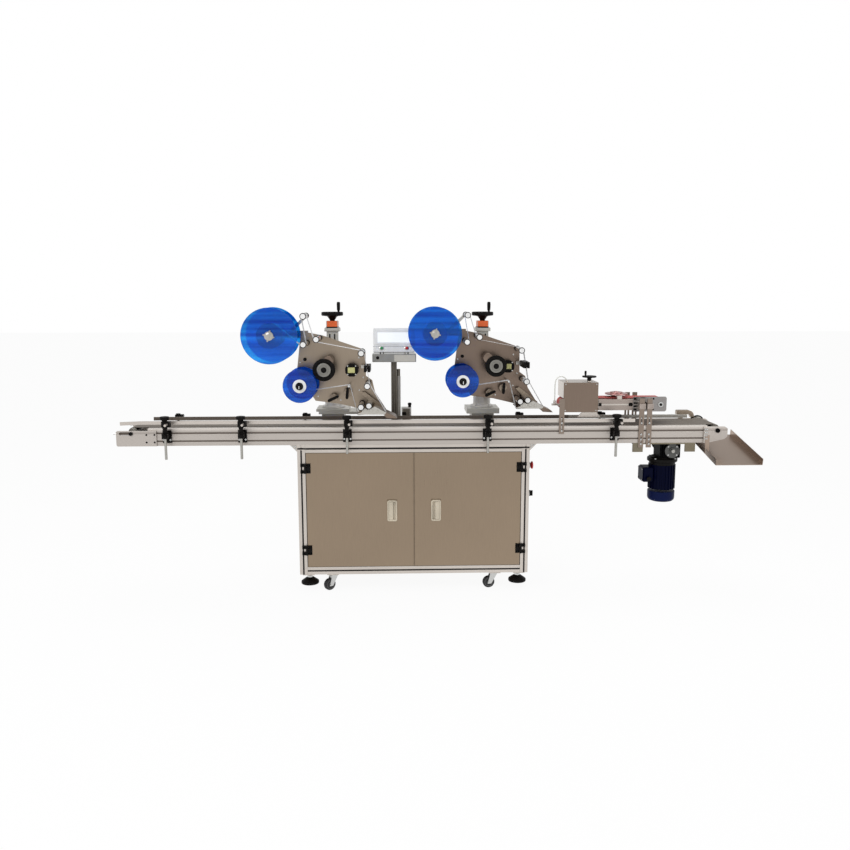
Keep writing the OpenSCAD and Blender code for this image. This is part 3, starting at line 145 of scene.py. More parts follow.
class Finish:
    """A material under construction. Its colour is what a maker would write on the paint card, save in the
    finishes that paint shade or a highlight.
    """

    def __init__(self, name, colour, rough, metal=0, **sockets):
        self.material = bpy.data.materials.new(name)
        self.material.use_nodes = True
        self.tree = self.material.node_tree
        self.shader = self.tree.nodes["Principled BSDF"]
        self.colour = colour
        self.rough = rough
        self.shader.inputs["Base Color"].default_value = (*linear(colour), 1)
        self.shader.inputs["Roughness"].default_value = rough
        self.shader.inputs["Metallic"].default_value = metal
        for key, number in sockets.items():
            self.shader.inputs[key.replace("_", " ")].default_value = number

    def node(self, kind, settings=None, values=None, output=0):
        made = self.tree.nodes.new(kind)
        for key, setting in (settings or {}).items():
            setattr(made, key, setting)
        for key, number in (values or {}).items():
            if isinstance(number, Value):
                self.tree.links.new(number.socket, made.inputs[key])
            else:
                made.inputs[key].default_value = number
        return Value(self, made.outputs[output])

    def spot(self):
        """The point on the piece, in metres."""
        return self.node("ShaderNodeTexCoord", output=3)

    def noise(self, scale, stretch=(1, 1, 1), detail=4, rough=0.55):
        place = self.node("ShaderNodeMapping", values={"Vector": self.spot(), "Scale": stretch})
        return self.node("ShaderNodeTexNoise", values={
            "Vector": place, "Scale": scale, "Detail": detail, "Roughness": rough})

    def link(self, value, socket):
        self.tree.links.new(value.socket, self.shader.inputs[socket])

    def shade(self, mask, dark, light):
        """The colour between two tones, by a mask from 0 to 1."""
        self.link(self.node("ShaderNodeMix", dict(data_type="RGBA"), {
            "Factor": mask, 6: (*linear(dark), 1), 7: (*linear(light), 1)}, output=2), "Base Color")

    def tint(self, mask, dark, light):
        """The colour between two shares of its own tone."""
        self.shade(mask, tone(self.colour, dark), tone(self.colour, light))

    def bump(self, height, depth, distance):
        self.link(self.node("ShaderNodeBump", values={
            "Height": height, "Strength": depth, "Distance": distance}), "Normal")

    def worn(self, mask, spread):
        """Roughness that varies a little round its own level."""
        self.link(self.rough - spread / 2 + mask * spread, "Roughness")


def linear(colour):
    """A colour of 0 to 255 as the eye sees it, to light."""
    return tuple(((c / 255 + 0.055) / 1.055) ** 2.4 if c > 10 else c / 3294 for c in colour)


def tone(colour, share):
    return tuple(min(255, c * share) for c in colour)


LEVEL = (0.02, 1, 1)
GROOVE_TOP = 0.842


def brushed(name, colour, stretch=(1, 1, 0.02)):
    """Sheet metal with fine brush lines, upright unless they are stretched another way."""
    made = Finish(name, colour, 0.3, 1)
    lines = made.noise(900, stretch, detail=3)
    clouds = made.noise(2.2, detail=2)
    mask = lines * 0.6 + clouds * 0.4
    made.tint(mask, 0.9, 1.1)
    made.worn(mask, 0.14)
    made.bump(lines, 0.1, 0.0002)
    return made.material


def extruded(name, colour, rough=0.36):
    """Anodised aluminium with faint die lines along its length."""
    made = Finish(name, colour, rough, 0.85)
    lines = made.noise(500, LEVEL, detail=2)
    clouds = made.noise(4, detail=3)
    made.tint(clouds, 0.93, 1.04)
    made.worn(lines, 0.12)
    made.bump(lines, 0.06, 0.0002)
    return made.material


def painted_highlight_beam_finish(name, low, high):
    """Anodised beam of the conveyor, with a painted highlight: pale along its top edge, darker down to the
    upper groove.
    """
    made = Finish(name, low, 0.4, 0.7)
    height = made.node("ShaderNodeSeparateXYZ", values={"Vector": made.spot()}, output=2)
    # Painted highlight: the colour grows paler above the upper groove towards the top edge.
    top = height.above(GROOVE_TOP) * (height - 0.848) * 48
    made.shade(top + height.below(GROOVE_TOP) * 0.32, low, high)
    made.worn(made.noise(500, LEVEL, detail=2), 0.12)
    return made.material


def machined(name, colour, rough=0.22):
    """Turned or milled bright metal."""
    made = Finish(name, colour, rough, 1)
    marks = made.noise(260, detail=3)
    made.tint(marks, 0.9, 1.06)
    made.worn(marks, 0.12)
    return made.material


def moulded(name, colour, rough=0.45, grain=0.08, **sockets):
    """Moulded plastic or rubber with a fine grain."""
    made = Finish(name, colour, rough, **sockets)
    grains = made.noise(1400, detail=2)
    clouds = made.noise(9, detail=3)
    made.tint(clouds, 0.86, 1.1)
    made.worn(clouds, 0.14)
    made.bump(grains, grain, 0.0003)
    return made.material


def painted(name, colour, rough):
    """Enamel with a little orange peel."""
    made = Finish(name, colour, rough, Coat_Weight=0.5, Coat_Roughness=0.12)
    peel = made.noise(240, detail=1)
    clouds = made.noise(14, detail=4)
    made.tint(clouds, 0.85, 1.12)
    made.worn(clouds, 0.12)
    made.bump(peel, 0.12, 0.0003)
    return made.material


def clear_disc(name, colour, clear, streak):
    """Clear blue plastic with the pale streaks of a machined sheet, drawn level across the disc."""
    made = Finish(name, colour, 0.14, Transmission_Weight=clear, IOR=1.2, Coat_Weight=0.3)
    level = made.noise(46, (0.03, 1, 1), detail=2, rough=0.5)
    wide = made.noise(13, (0.04, 1, 1), detail=1)
    mask = (level * 0.6 + wide * 0.4 - 0.38) * 3.6
    light = [min(255, c + share) for c, share in zip(colour, (streak, streak * 1.5, streak))]
    made.shade(mask, tone(colour, 0.78), light)
    made.worn(level, 0.1)
    return made.material


def lit(material):
    """The screen's own light, a little blue."""
    shader = material.node_tree.nodes["Principled BSDF"]
    shader.inputs["Emission Color"].default_value = (0.9, 0.96, 1, 1)
    return material


finishes = {
    "frame_alu": extruded("anodised frame", (208, 200, 192)),
    # The conveyor beam's finish paints a highlight along its top edge.
    "beam": painted_highlight_beam_finish("conveyor beam with painted highlight", (172, 164, 157), (226, 219, 212)),
    "door": brushed("brushed door", (150, 133, 114)),
    "slotted bar": brushed("slotted bar", (144, 130, 119), LEVEL),
    "dark stainless": brushed("dark stainless", (132, 116, 104)),
    "light stainless": brushed("light stainless", (206, 198, 190)),
    "tray steel": brushed("tray steel", (168, 150, 136)),
    "stainless": brushed("brushed stainless", (158, 144, 128)),
    "grey plate": brushed("grey end plate", (150, 146, 144), LEVEL),
    "stand dark": extruded("panel post", (118, 112, 103), 0.45),
    "press alu": extruded("press unit profile", (170, 158, 150)),
    "rail brown": extruded("guide rail", (118, 109, 101), 0.45),
    "column": moulded("milled column", (198, 196, 188), 0.4, 0.02, Metallic=0.3),
    "pale metal": moulded("pale bead blasted metal", (208, 205, 200), 0.42, 0.02, Metallic=0.25),
    "bright": machined("bright zinc", (200, 200, 198)),
    "steel": machined("ground steel", (176, 174, 168), 0.28),
    "chrome": machined("polished chrome", (224, 224, 222), 0.24),
    "disc grey": machined("grooved grey disc", (142, 140, 134), 0.4),
    "aluminium": machined("milled aluminium", (196, 193, 186), 0.3),
    "pale red": machined("pale red disc", (196, 150, 146), 0.3),
    "casting": machined("grey casting", (98, 98, 96), 0.5),
    "black": moulded("black nylon", (16, 14, 13), 0.42, Specular_IOR_Level=0.1),
    "tyre": moulded("caster tyre", (24, 24, 26), 0.6),
    "caster grey": moulded("caster hub", (92, 90, 90), 0.5),
    "gear": moulded("control gear", (186, 188, 190), 0.4),
    "belt": moulded("conveyor belt", (106, 98, 89), 0.62, 0.25),
    "red_belt": moulded("press belt", (176, 72, 66), 0.6, 0.2),
    "navy": moulded("navy enamel", (2, 5, 32), 0.36, 0.03, Specular_IOR_Level=0.05),
    "fan blue": moulded("blue fan cover", (8, 20, 62), 0.36, 0.03, Specular_IOR_Level=0.08),
    "dark_metal": moulded("dark casting", (7, 7, 8), 0.5, 0.06, Specular_IOR_Level=0.03),
    # Painted shade: a dark and a softer shaded tone, laid into grooves, slots and gaps where shade falls.
    "painted groove shade": moulded("painted groove shade", (26, 22, 20), 0.6, Specular_IOR_Level=0.25),
    "painted soft shade": moulded("shaded groove", (104, 94, 86), 0.6, Specular_IOR_Level=0.25),
    "reel": moulded("blue reel", (20, 82, 214), 0.2, 0.02),
    "roll": moulded("label roll", (26, 74, 196), 0.5, 0.2),
    "waste": moulded("waste roll", (44, 82, 176), 0.55, 0.2),
    "web": moulded("label web", (236, 236, 238), 0.5, 0.03, Alpha=0.6),
    "white face": moulded("white roller face", (236, 236, 234), 0.35, 0.04),
    "pale plate": moulded("bare pale plate", (206, 204, 138), 0.4, 0.03),
    "orange": moulded("orange counter", (240, 104, 44), 0.35, 0.05),
    "panel": moulded("panel housing", (240, 243, 243), 0.3, 0.05),
    "green": moulded("green button", (34, 140, 84), 0.3),
    "red": moulded("red button", (190, 32, 34), 0.3),
    "cable": moulded("white cable", (222, 222, 216), 0.4),
    "conduit": moulded("grey conduit", (178, 174, 166), 0.5),
    "cream": moulded("cream handle", (198, 187, 167), 0.35, 0.05),
    "screen": lit(moulded("lit screen", (244, 250, 252), 0.12, 0, Emission_Strength=0.35)),
    "stand grey": painted("stand grey", (146, 146, 142), 0.4),
    "olive": painted("olive plate", (116, 106, 84), 0.5),
    "supply disc": clear_disc("clear blue disc", (0, 112, 255), 0.8, 40),
    "waste disc": clear_disc("dark blue disc", (8, 84, 214), 0.7, 26),
}
OWN_FINISH = {"conveyor_frame": "beam", "left_door": "door", "right_door": "door", "panel_post": "stand dark",
              "left_column": "column", "right_column": "column", "right_head_plate": "dark stainless",
              "press_bars": "slotted bar", "discharge_tray": "tray steel", "press_frame": "light stainless"}
ROUND_NODES = ("press_cable", "stop_button", "power_switch", "green_button", "red_button", "drive_chain",
               "press_belt", "conveyor_belt", "drive_drum", "idler_drum", "gearbox_sprocket")
WELD_DISTANCE = 0.00001
EDGE = 0.7
FINE_EDGES = {"cabinet_panels": 0.4, "press_bars": 0.5, "discharge_tray": 0.4, "front_guide": 0.9,
              "rear_guide": 0.9}


def dress(piece, finish):
    piece.data.materials.clear()
    piece.data.materials.append(finishes[finish])


def soft_edges(piece, width, limit):
    edges = piece.modifiers.new("edges", "BEVEL")
    edges.width = width * MM
    edges.segments = 2
    edges.limit_method = "ANGLE"
    edges.angle_limit = math.radians(limit)
    return edges


def dress_nodes():
    """Every node of the frame gets the finish of its own slot, and most get broken edges."""
    for row in frame["record"]["subparts"]:
        node = row["node"]
        piece = frame["nodes"][node]
        dress(piece, OWN_FINISH.get(node, row["material_slot"]))
        if node not in ROUND_NODES:
            weld = piece.modifiers.new("weld", "WELD")
            weld.merge_threshold = WELD_DISTANCE
            soft_edges(piece, FINE_EDGES.get(node, EDGE), 40)


dress_nodes()

# How pieces are made

FRONT = (0, -1, 0)
SAME_POINT = 0.000002
SMOOTH_ANGLE = 38
FLUTE_ANGLE = 30
WEB_THICK = 0.25


def only(piece=None):
    """Nothing stays selected but the piece given."""
    bpy.ops.object.select_all(action="DESELECT")
    if piece:
        piece.select_set(True)
        bpy.context.view_layer.objects.active = piece


def apply_place():
    bpy.ops.object.transform_apply(location=True, rotation=True, scale=True)


def edit(piece, kind="FACE"):
    only(piece)
    bpy.ops.object.mode_set(mode="EDIT")
    bpy.ops.mesh.select_mode(type=kind)


def smooth(limit):
    bpy.ops.object.shade_smooth_by_angle(angle=math.radians(limit))


def leave_edit():
    bpy.ops.object.mode_set(mode="OBJECT")


def choose(piece, test, kind="FACE"):
    """Opens a piece for editing, with the faces or edges selected that pass a test."""
    edit(piece, kind)
    bpy.ops.mesh.select_all(action="DESELECT")
    leave_edit()
    for part in piece.data.polygons if kind == "FACE" else piece.data.edges:
        part.select = test(part)
    bpy.ops.object.mode_set(mode="EDIT")


def edit_all(piece):
    edit(piece)
    bpy.ops.mesh.select_all(action="SELECT")


def pull(shift):
    bpy.ops.mesh.extrude_region_move(TRANSFORM_OT_translate={"value": shift})


def raise_faces(height):
    bpy.ops.mesh.extrude_faces_move(TRANSFORM_OT_shrink_fatten={"value": height * MM})


def sink(piece, margin, depth, way=FRONT, where=None):
    """Insets the faces that look one way and pushes them in, or out for a negative depth."""
    way = Vector(way)
    choose(piece, lambda face: face.normal.dot(way) > 0.999 and (where is None or where(face.center)))
    bpy.ops.mesh.inset(thickness=margin * MM, depth=0)
    pull(way * -depth * MM)
    leave_edit()


def sector(across, up, count):
    """Which one of so many equal sectors of a circle a direction points into."""
    return int((math.atan2(up, across) + math.pi) / (2 * math.pi) * count)


def knurl(piece, radius, centre, axis):
    """Presses every second side face of a turned grip in, for its flutes."""
    axis = "XYZ".index(axis)
    a, b = [k for k in (0, 1, 2) if k != axis]

    def flute(face):
        out = face.center - centre
        near = abs(math.hypot(out[a], out[b]) / MM - radius) < 1.2
        return near and abs(face.normal[axis]) < 0.3 and sector(out[a], out[b], 36) % 2 == 1

    choose(piece, flute)
    bpy.ops.mesh.inset(thickness=0.3 * MM, depth=-0.9 * MM, use_individual=True)
    leave_edit()
    smooth(FLUTE_ANGLE)


def rim(height, radius, chamfer):
    """The two stations of a chamfered edge, outer first going up."""
    return [(height - chamfer, radius), (height, radius - chamfer)]


def foot_rim(height, radius, chamfer):
    return [(height, radius - chamfer), (height + chamfer, radius)]


def arm_outline(lean, steps, *ends):
    """The outline of an arm that leans so, between two round ends of a place in X and Z and a radius."""
    outline = []
    for (x, z, radius), start in zip(ends, (90, 270)):
        for step in range(steps + 1):
            turn = lean + math.radians(start + step * 180 / steps)
            outline.append((x + radius * math.cos(turn), z + radius * math.sin(turn)))
    return outline


def four_round(x, y, z, radius, upright=False):
    """Four places on a level or an upright circle."""
    places = []
    for step in range(4):
        turn = math.radians(45 + 90 * step)
        across, along = radius * math.cos(turn), radius * math.sin(turn)
        places.append(at(x + across, y, z + along) if upright else at(x + across, y + along, z))
    return places


class Group:
    """New pieces that ride on one body. Their names start alike."""

    def __init__(self, body, slot, prefix=""):
        self.body = body
        self.slot = slot
        self.prefix = prefix

    def settle(self, piece, finish=None):
        """Puts the piece's place into its mesh, faces it outward, and lets it ride on its body."""
        only(piece)
        apply_place()
        edit_all(piece)
        bpy.ops.mesh.remove_doubles(threshold=SAME_POINT)
        bpy.ops.mesh.normals_make_consistent(inside=False)
        leave_edit()
        smooth(SMOOTH_ANGLE)
        if finish:
            dress(piece, finish)
        if self.body:
            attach(piece, self.body)
        return piece

    def new(self, name):
        piece = bpy.context.object
        piece.name = self.prefix + name
        return piece

    def turned(self, name, centre, axis, stations, finish, sides=48):
        """A turned piece: a round face, drawn out and scaled from one (height, radius) to the next."""
        only()
        bpy.ops.mesh.primitive_circle_add(vertices=sides, radius=stations[0][1] * MM, fill_type="NGON",
                                          location=(0, 0, 0))
        piece = self.new(name)
        edit_all(piece)
        bpy.ops.transform.translate(value=(0, 0, stations[0][0] * MM))
        for (low, small), (high, wide) in zip(stations, stations[1:]):
            pull((0, 0, (high - low) * MM))
            if abs(small - wide) > 0.001:
                share = wide / small
                bpy.ops.transform.resize(value=(share, share, 1), center_override=(0, 0, high * MM))
        leave_edit()
        piece.rotation_euler = {"X": (0, math.pi / 2, 0), "Y": (-math.pi / 2, 0, 0), "Z": (0, 0, 0)}[axis]
        piece.location = centre
        return self.settle(piece, finish)

    def cut(self, name, outline, y0, y1, finish, bevel):
        """A flat piece cut to an outline in X and Z, thickened from y0 to y1, with broken edges."""
        only()
        bpy.ops.mesh.primitive_circle_add(vertices=len(outline), radius=0.05, fill_type="NGON",
                                          location=(0, 0, 0))
        piece = self.new(name)
        for vertex, (x, z) in zip(piece.data.vertices, outline):
            vertex.co = at(x, y0, z)
        edit_all(piece)
        pull((0, (y1 - y0) * MM, 0))
        bpy.ops.mesh.select_all(action="SELECT")
        bpy.ops.mesh.normals_make_consistent(inside=False)
        bpy.ops.mesh.bevel(offset=bevel * MM, segments=2, affect="EDGES")
        leave_edit()
        return self.settle(piece, finish)

    def block(self, name, low, high, finish, bevel=1, corners=None):
        """A block between two corners of the drawing. Edges along one axis may get a larger radius."""
        only()
        low, high = at(*low), at(*high)
        bpy.ops.mesh.primitive_cube_add(size=1, location=(low + high) / 2)
        piece = self.new(name)
        piece.scale = high - low
        apply_place()
        if corners:
            letter, radius = corners

            def along(edge):
                start, end = [piece.data.vertices[v].co for v in edge.vertices]
                return abs((end - start).normalized()["XYZ".index(letter)]) > 0.99

            choose(piece, along, "EDGE")
            bpy.ops.mesh.bevel(offset=radius * MM, segments=5, affect="EDGES")
            leave_edit()
        break_edges(piece, bevel, 50)
        return self.settle(piece, finish)

    def copies(self, name, source, places):
        """The same piece at several places, joined; the source is used up."""
        made = []
        for place in places:
            twin = source.copy()
            twin.data = source.data.copy()
            bpy.context.scene.collection.objects.link(twin)
            twin.location = place
            made.append(twin)
        bpy.data.objects.remove(source)
        only()
        for twin in made:
            twin.select_set(True)
        bpy.context.view_layer.objects.active = made[0]
        if len(made) > 1:
            bpy.ops.object.join()
        return self.settle(self.new(name))

    def screws(self, name, radius, places, finish="bright", axis="Y", hexagon=False):
        """Cap screws with their sockets, or hexagon heads. Along X and Y they look left and to the front."""
        stations = [(0, radius)]
        if hexagon:
            stations += rim(radius * 0.7, radius, radius * 0.12)
        else:
            stations += rim(radius * 0.8, radius, radius * 0.15)
            stations += [(radius * 0.8, radius * 0.5), (radius * 0.25, radius * 0.45)]
        seed = self.turned("seed", (0, 0, 0), axis, stations, finish, 6 if hexagon else 18)
        if axis != "Z":
            only(seed)
            seed.rotation_euler = (0, math.pi, 0) if axis == "X" else (math.pi, 0, 0)
            apply_place()
        return self.copies(name, seed, places)

    def band(self, name, route, y0, y1, finish):
        """A thin strip that stands on a route in X and Z, between two places across the machine."""
        curve = bpy.data.curves.new(name, "CURVE")
        curve.dimensions = "2D"
        curve.fill_mode = "NONE"
        spline = curve.splines.new("POLY")
        spline.points.add(len(route) - 1)
        for point, (x, z) in zip(spline.points, route):
            place = at(x, 0, z)
            point.co = (place.x, place.z, 0, 1)
        curve.extrude = (y1 - y0) / 2 * MM
        strip = link(name, curve)
        strip.rotation_euler = (math.pi / 2, 0, 0)
        strip.location = (0, at(0, (y0 + y1) / 2, 0).y, 0)
        only(strip)
        bpy.ops.object.convert(target="MESH")
        strip = self.new(name)
        apply_place()
        wall = strip.modifiers.new("wall", "SOLIDIFY")
        wall.thickness = WEB_THICK * MM
        wall.offset = 0
        bpy.ops.object.modifier_apply(modifier=wall.name)
        return self.settle(strip, finish)


def break_edges(piece, width, limit):
    only(piece)
    bpy.ops.object.modifier_apply(modifier=soft_edges(piece, width, limit).name)


# Label heads

# A head's places are shares of its plate's width and height
HEADS = {"left": (-430, -110), "right": (380, 80)}
PLATE_X0 = -159
PLATE_W = 348
PLATE_H = 383
PLATE_Z0 = 962
HEAD_D = 180
SUPPLY = (-0.316, 0.969)
TAKEUP = (0.092, 0.335)
DANCER = (0.158, 1.214)
PIVOT = (-0.083, 1)
DRIVE = {"left": (0.417, 0.525), "right": (0.6, 0.525)}
PINCH_SHIFT = {"left": 0.06, "right": -0.12}
MOTOR = (0.802, 0.509)
ROLLERS = [(0.152, 0.859), (0.333, 0.924), (0.954, 0.747), (1.034, 0.329), (0.943, 0.06), (1.055, 0.078)]
SENSOR = (1.034, 0.548)
LEVERS = [((0.532, 0.138), 25), ((0.736, 0.209), 85)]
STUDS = [((1, 0.005), 15.5, 4, 26), ((1.09, 0.018), 11, 6, 30), ((1.17, 0.008), 7.5, 8, 28)]
PIN = (0.775, 0.327)
CORNER = (0.9, -0.036)
TIP = (1.29, -0.014)
WEB = (14, 64)
WEB_GAP = 0.6
WEB_WRAP = math.radians(25)
WEB_STEP = 0.16
TUBE_RADIUS = 12.3


def on(head, share):
    x = HEADS[head][0] + PLATE_X0 + share[0] * PLATE_W
    return x, PLATE_Z0 + share[1] * PLATE_H


def front(head, y=0):
    return HEADS[head][1] + y


def spot(head, share, y=0):
    x, z = on(head, share)
    return at(x, front(head, y), z)


def reel_discs(reel, centre, inner, outer, boss, finish, sides):
    """The two discs of a reel. The front one stands for the reel of the frame."""
    discs = []
    for side, start in (("front", 0), ("rear", 150)):
        ring = [(start, inner), (start, outer - 0.8), (start + 0.8, outer), (start + 3.2, outer),
                (start + 4, outer - 0.8), (start + 4, inner), (start + 4.2, boss)]
        discs.append(reel.turned(side + "_disc", centre, "Y", ring, finish, sides))
    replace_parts(discs[0], reel.body)


def supply_reel(head):
    body = head + "_supply_reel"
    centre = spot(head, SUPPLY)
    reel = Group(body, "reel", body + "_")
    reel_discs(reel, centre, 60, 136, 19, "supply disc", 96)
    layers = [(4.4, 20), (4.4, 30)]
    for step in range(10):
        layers += [(4.4, 30.6 + step * 3.2), (4.8, 31.2 + step * 3.2), (4.4, 33.2 + step * 3.2)]
    layers += rim(149.6, 62, 0.4) + [(149.6, 20)]
    reel.turned("roll", centre, "Y", layers, "roll", 96)
    core = [(-6, 20), (-6, 21), (-5, 22), (179, 22), (179.7, 20)]
    reel.turned("core", centre, "Y", core, "aluminium")
    hub = [(-20.5, 5), (-20.5, 8.6), (-19, 9.6), (-13, 9.6), (-12.6, 13), (-11.6, 14.5), (-7, 14.5),
           (-6.5, 17), (-0.5, 17.5), (-0.2, 12)]
    reel.turned("hub", centre, "Y", hub, "aluminium")
    cross_arms(reel, centre)


def cross_arms(reel, centre):
    """Four stub arms round the hub, each with the round head of its clamp screw."""
    only()
    bpy.ops.mesh.primitive_cylinder_add(vertices=16, radius=15.6 * MM, depth=9 * MM, location=(0, 0, 0))
    star = reel.new("arms")
    choose(star, lambda face: abs(face.normal.z) < 0.1 and (
        math.degrees(math.atan2(face.center.y, face.center.x)) % 90 < 24))
    raise_faces(8)
    raise_faces(5)
    leave_edit()
    break_edges(star, 0.8, 30)
    star.rotation_euler = (-math.pi / 2, math.radians(3), 0)
    star.location = centre + Vector((0, -6 * MM, 0))
    reel.settle(star, "aluminium")


def takeup_reel(head):
    body = head + "_takeup_reel"
    centre = spot(head, TAKEUP)
    reel = Group(body, "reel", body + "_")
    reel_discs(reel, centre, 28, 82, 21, "waste disc", 80)
    reel.turned("waste", centre, "Y", foot_rim(4.4, 30, 0.4) + rim(149.6, 30, 0.4), "waste", 64)
    reel.turned("core", centre, "Y", [(149.8, 20.4), (178.6, 20.4), (179.2, 19.8)], "aluminium")
    ring = [(-8, 16), (-8, 31), (-7, 32.6), (-3, 33.2), (-0.4, 32.6), (-0.4, 16)]
    reel.turned("ring", centre, "Y", ring, "white face", 64)
    grip = [(-28.4, 9), (-28, 11.6), (-26, 12.8), (-14, 13.4), (-11, 17.5), (-8.6, 19), (-8.2, 12)]
    knurl(reel.turned("knob", centre, "Y", grip, "black", 36), 13, centre, "Y")
    x, z = on(head, TAKEUP)
    reel.block("pointer", (x - 1.6, front(head, -29.6), z - 11), (x + 1.6, front(head, -27.9), z + 4),
               "white face", 0.4)


def roller(group, name, centre, length=172):
    """A guide roller: white end cap in a black rim, chrome tube, black bushing and its shaft."""
    cap = [(-0.6, 3), (0.2, 3.4), (0.2, 10.8), (-0.4, 11.4), (-0.4, 12.4), (1.4, 12.8), (2, 12.4)]
    face = group.turned(name + "_face", centre, "Y", cap, "white face", 32)
    edge = [(1, 12.2), (-0.8, 13.2), (-0.6, 15.2), (0, 16), (3.6, 16.2), (5, 15.4), (5.4, 13.2)]
    group.turned(name + "_rim", centre, "Y", edge, "black", 40)
    tube = [(5.2, 12.9), (8, 13), (8.4, TUBE_RADIUS), (length - 12, TUBE_RADIUS), (length - 11.4, 11.6)]
    group.turned(name + "_tube", centre, "Y", tube, "chrome", 40)
    bush = [(length - 11.2, 13.4), (length - 10.6, 14.6), (length - 2, 14.6), (length - 1.2, 13.8),
            (length - 1.2, 9), (length + 7.6, 9)]
    group.turned(name + "_bushing", centre, "Y", bush, "black", 32)
    return face


def head_rollers(head):
    plate = Group(head + "_head_plate", "steel", head + "_")
    faces = [roller(plate, f"roller_{index + 1}", spot(head, share)) for index, share in enumerate(ROLLERS)]
    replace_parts(faces[0], head + "_rollers")


def dancer(head):
    body = head + "_dancer"
    group = Group(body, "steel", body + "_")
    px, pz = on(head, PIVOT)
    rx, rz = on(head, DANCER)
    y = front(head, HEAD_D)
    outline = arm_outline(math.atan2(rz - pz, rx - px), 8, (px, pz, 9.5), (rx, rz, 7))
    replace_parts(group.cut("arm", outline, y - 18.4, y - 9.8, "aluminium", 0.8), body)
    pin = [(-21, 3), (-21, 6.4), (-20, 7.4), (-18.6, 7.4), (-18.2, 9), (-7.6, 9), (-7, 8)]
    group.turned("boss", at(px, y, pz), "Y", pin, "chrome", 32)
    roller(group, "roller", spot(head, DANCER), 156)


def drive_roller(head):
    """The knurled drive ring with its grooved grey disc, and the rubber tube behind it."""
    body = head + "_drive_roller"
    group = Group(body, "black", body + "_")
    centre = spot(head, DRIVE[head])
    ring = [(66, 38), (60.6, 38.6), (59.6, 40), (59.6, 52.6), (60.8, 54.6), (62, 55.3), (80, 55.3),
            (81.4, 54.4), (82.4, 52), (82.6, 32)]
    ring = group.turned("ring", centre, "Y", ring, "black", 72)
    knurl_ring(ring, centre)
    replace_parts(ring, body)
    face = [(57, 4), (57, 7), (58.2, 7.6), (58.2, 14), (56.8, 14.8), (56.8, 20), (58.6, 20.6), (58.6, 24),
            (57, 24.8), (57, 33), (58, 34.4), (64, 36.6), (70.5, 37.2)]
    group.turned("disc", centre, "Y", face, "disc grey", 64)
    nose = [(50.5, 3), (50.5, 8), (51.6, 9.6), (55, 13), (57.6, 13.6)]
    group.turned("nose", centre, "Y", nose, "black", 32)
    group.turned("tube", centre, "Y", [(82.6, 30.4), (176, 30.4), (177, 29.4)], "tyre", 56)


def knurl_ring(piece, centre):
    """Teeth round the drive ring's rim and pockets in its face."""

    def chosen(face):
        out = face.center - centre
        slot = sector(out.x, out.z, 72)
        reach = math.hypot(out.x, out.z) / MM
        tooth = slot % 2 == 1 and reach > 54.5 and abs(face.normal.y) < 0.3
        return tooth or (slot % 6 in (1, 2) and 42 < reach < 52 and face.normal.y < -0.9)

    choose(piece, chosen)
    bpy.ops.mesh.inset(thickness=0.5 * MM, depth=-1.4 * MM, use_individual=True)
    leave_edit()


def stepper(head, plate):
    """The black stepper unit with its bare pale plate and four screws."""
    x, z = on(head, MOTOR)
    y = front(head, HEAD_D)
    outline = [(-32, -13), (-32, 13), (-13, 32), (13, 32), (32, 13), (32, -13), (13, -32), (-13, -32)]
    outline = [(x + a, z + b) for a, b in outline]
    case = plate.cut("stepper_case", outline, y - 65, y - 0.3, "black", 1.2)
    sink(case, 5, 1.6)
    middle = at(x, 0, z)
    sink(case, 3, -2.6, where=lambda c: math.hypot(c.x - middle.x, c.z - middle.z) < 0.001)
    face_plate = plate.block("stepper_plate", (x - 19, y - 69, z - 13), (x + 16, y - 65.4, z + 14),
                             "pale plate", 0.8)
    sink(face_plate, 2, 0.5)
    places = [at(x + a * 20, y - 64.6, z + b * 21) for a in (-1, 1) for b in (-1, 1)]
    plate.screws("stepper_screws", 3.4, places)


def sensor(head, plate):
    x, z = on(head, SENSOR)
    y0 = front(head, 8)
    y1 = front(head, HEAD_D - 30)
    for side, x0, x1 in (("left", x - 15.6, x - 2.7), ("right", x + 2.7, x + 15.6)):
        fork = plate.block("sensor_" + side, (x0, y0, z - 15.6), (x1, y1 + 0.6, z + 15.6), "black", 1.2)
        sink(fork, 2.4, 1)
    bracket = plate.block("sensor_bracket", (x - 35.6, y1 - 1.6, z - 8.2), (x + 0.6, y1 + 30.2, z + 8.2),
                          "aluminium", 0.8)
    sink(bracket, 4, 1.5, (0, 0, 1))


def levers(head, plate):
    collar = [(1, 8), (1, 12.6), (2.2, 13.6), (16, 13.6), (16.8, 19.4), (18, 20.4), (30, 20.4), (31.2, 19.2),
              (31.2, 9), (59.7, 9)]
    y = front(head, HEAD_D - 60)
    for index, (share, lean) in enumerate(LEVERS):
        x, z = on(head, share)
        lean = math.radians(lean)
        ends = [(x + end * math.cos(lean), z + end * math.sin(lean), radius)
                for end, radius in ((-22.5, 7.4), (25, 6.2))]
        plate.cut(f"lever_{index + 1}", arm_outline(lean, 6, *ends), y - 14, y + 0.8, "black", 1.4)
        plate.turned(f"lever_collar_{index + 1}", at(x, y, z), "Y", collar, "stainless", 40)


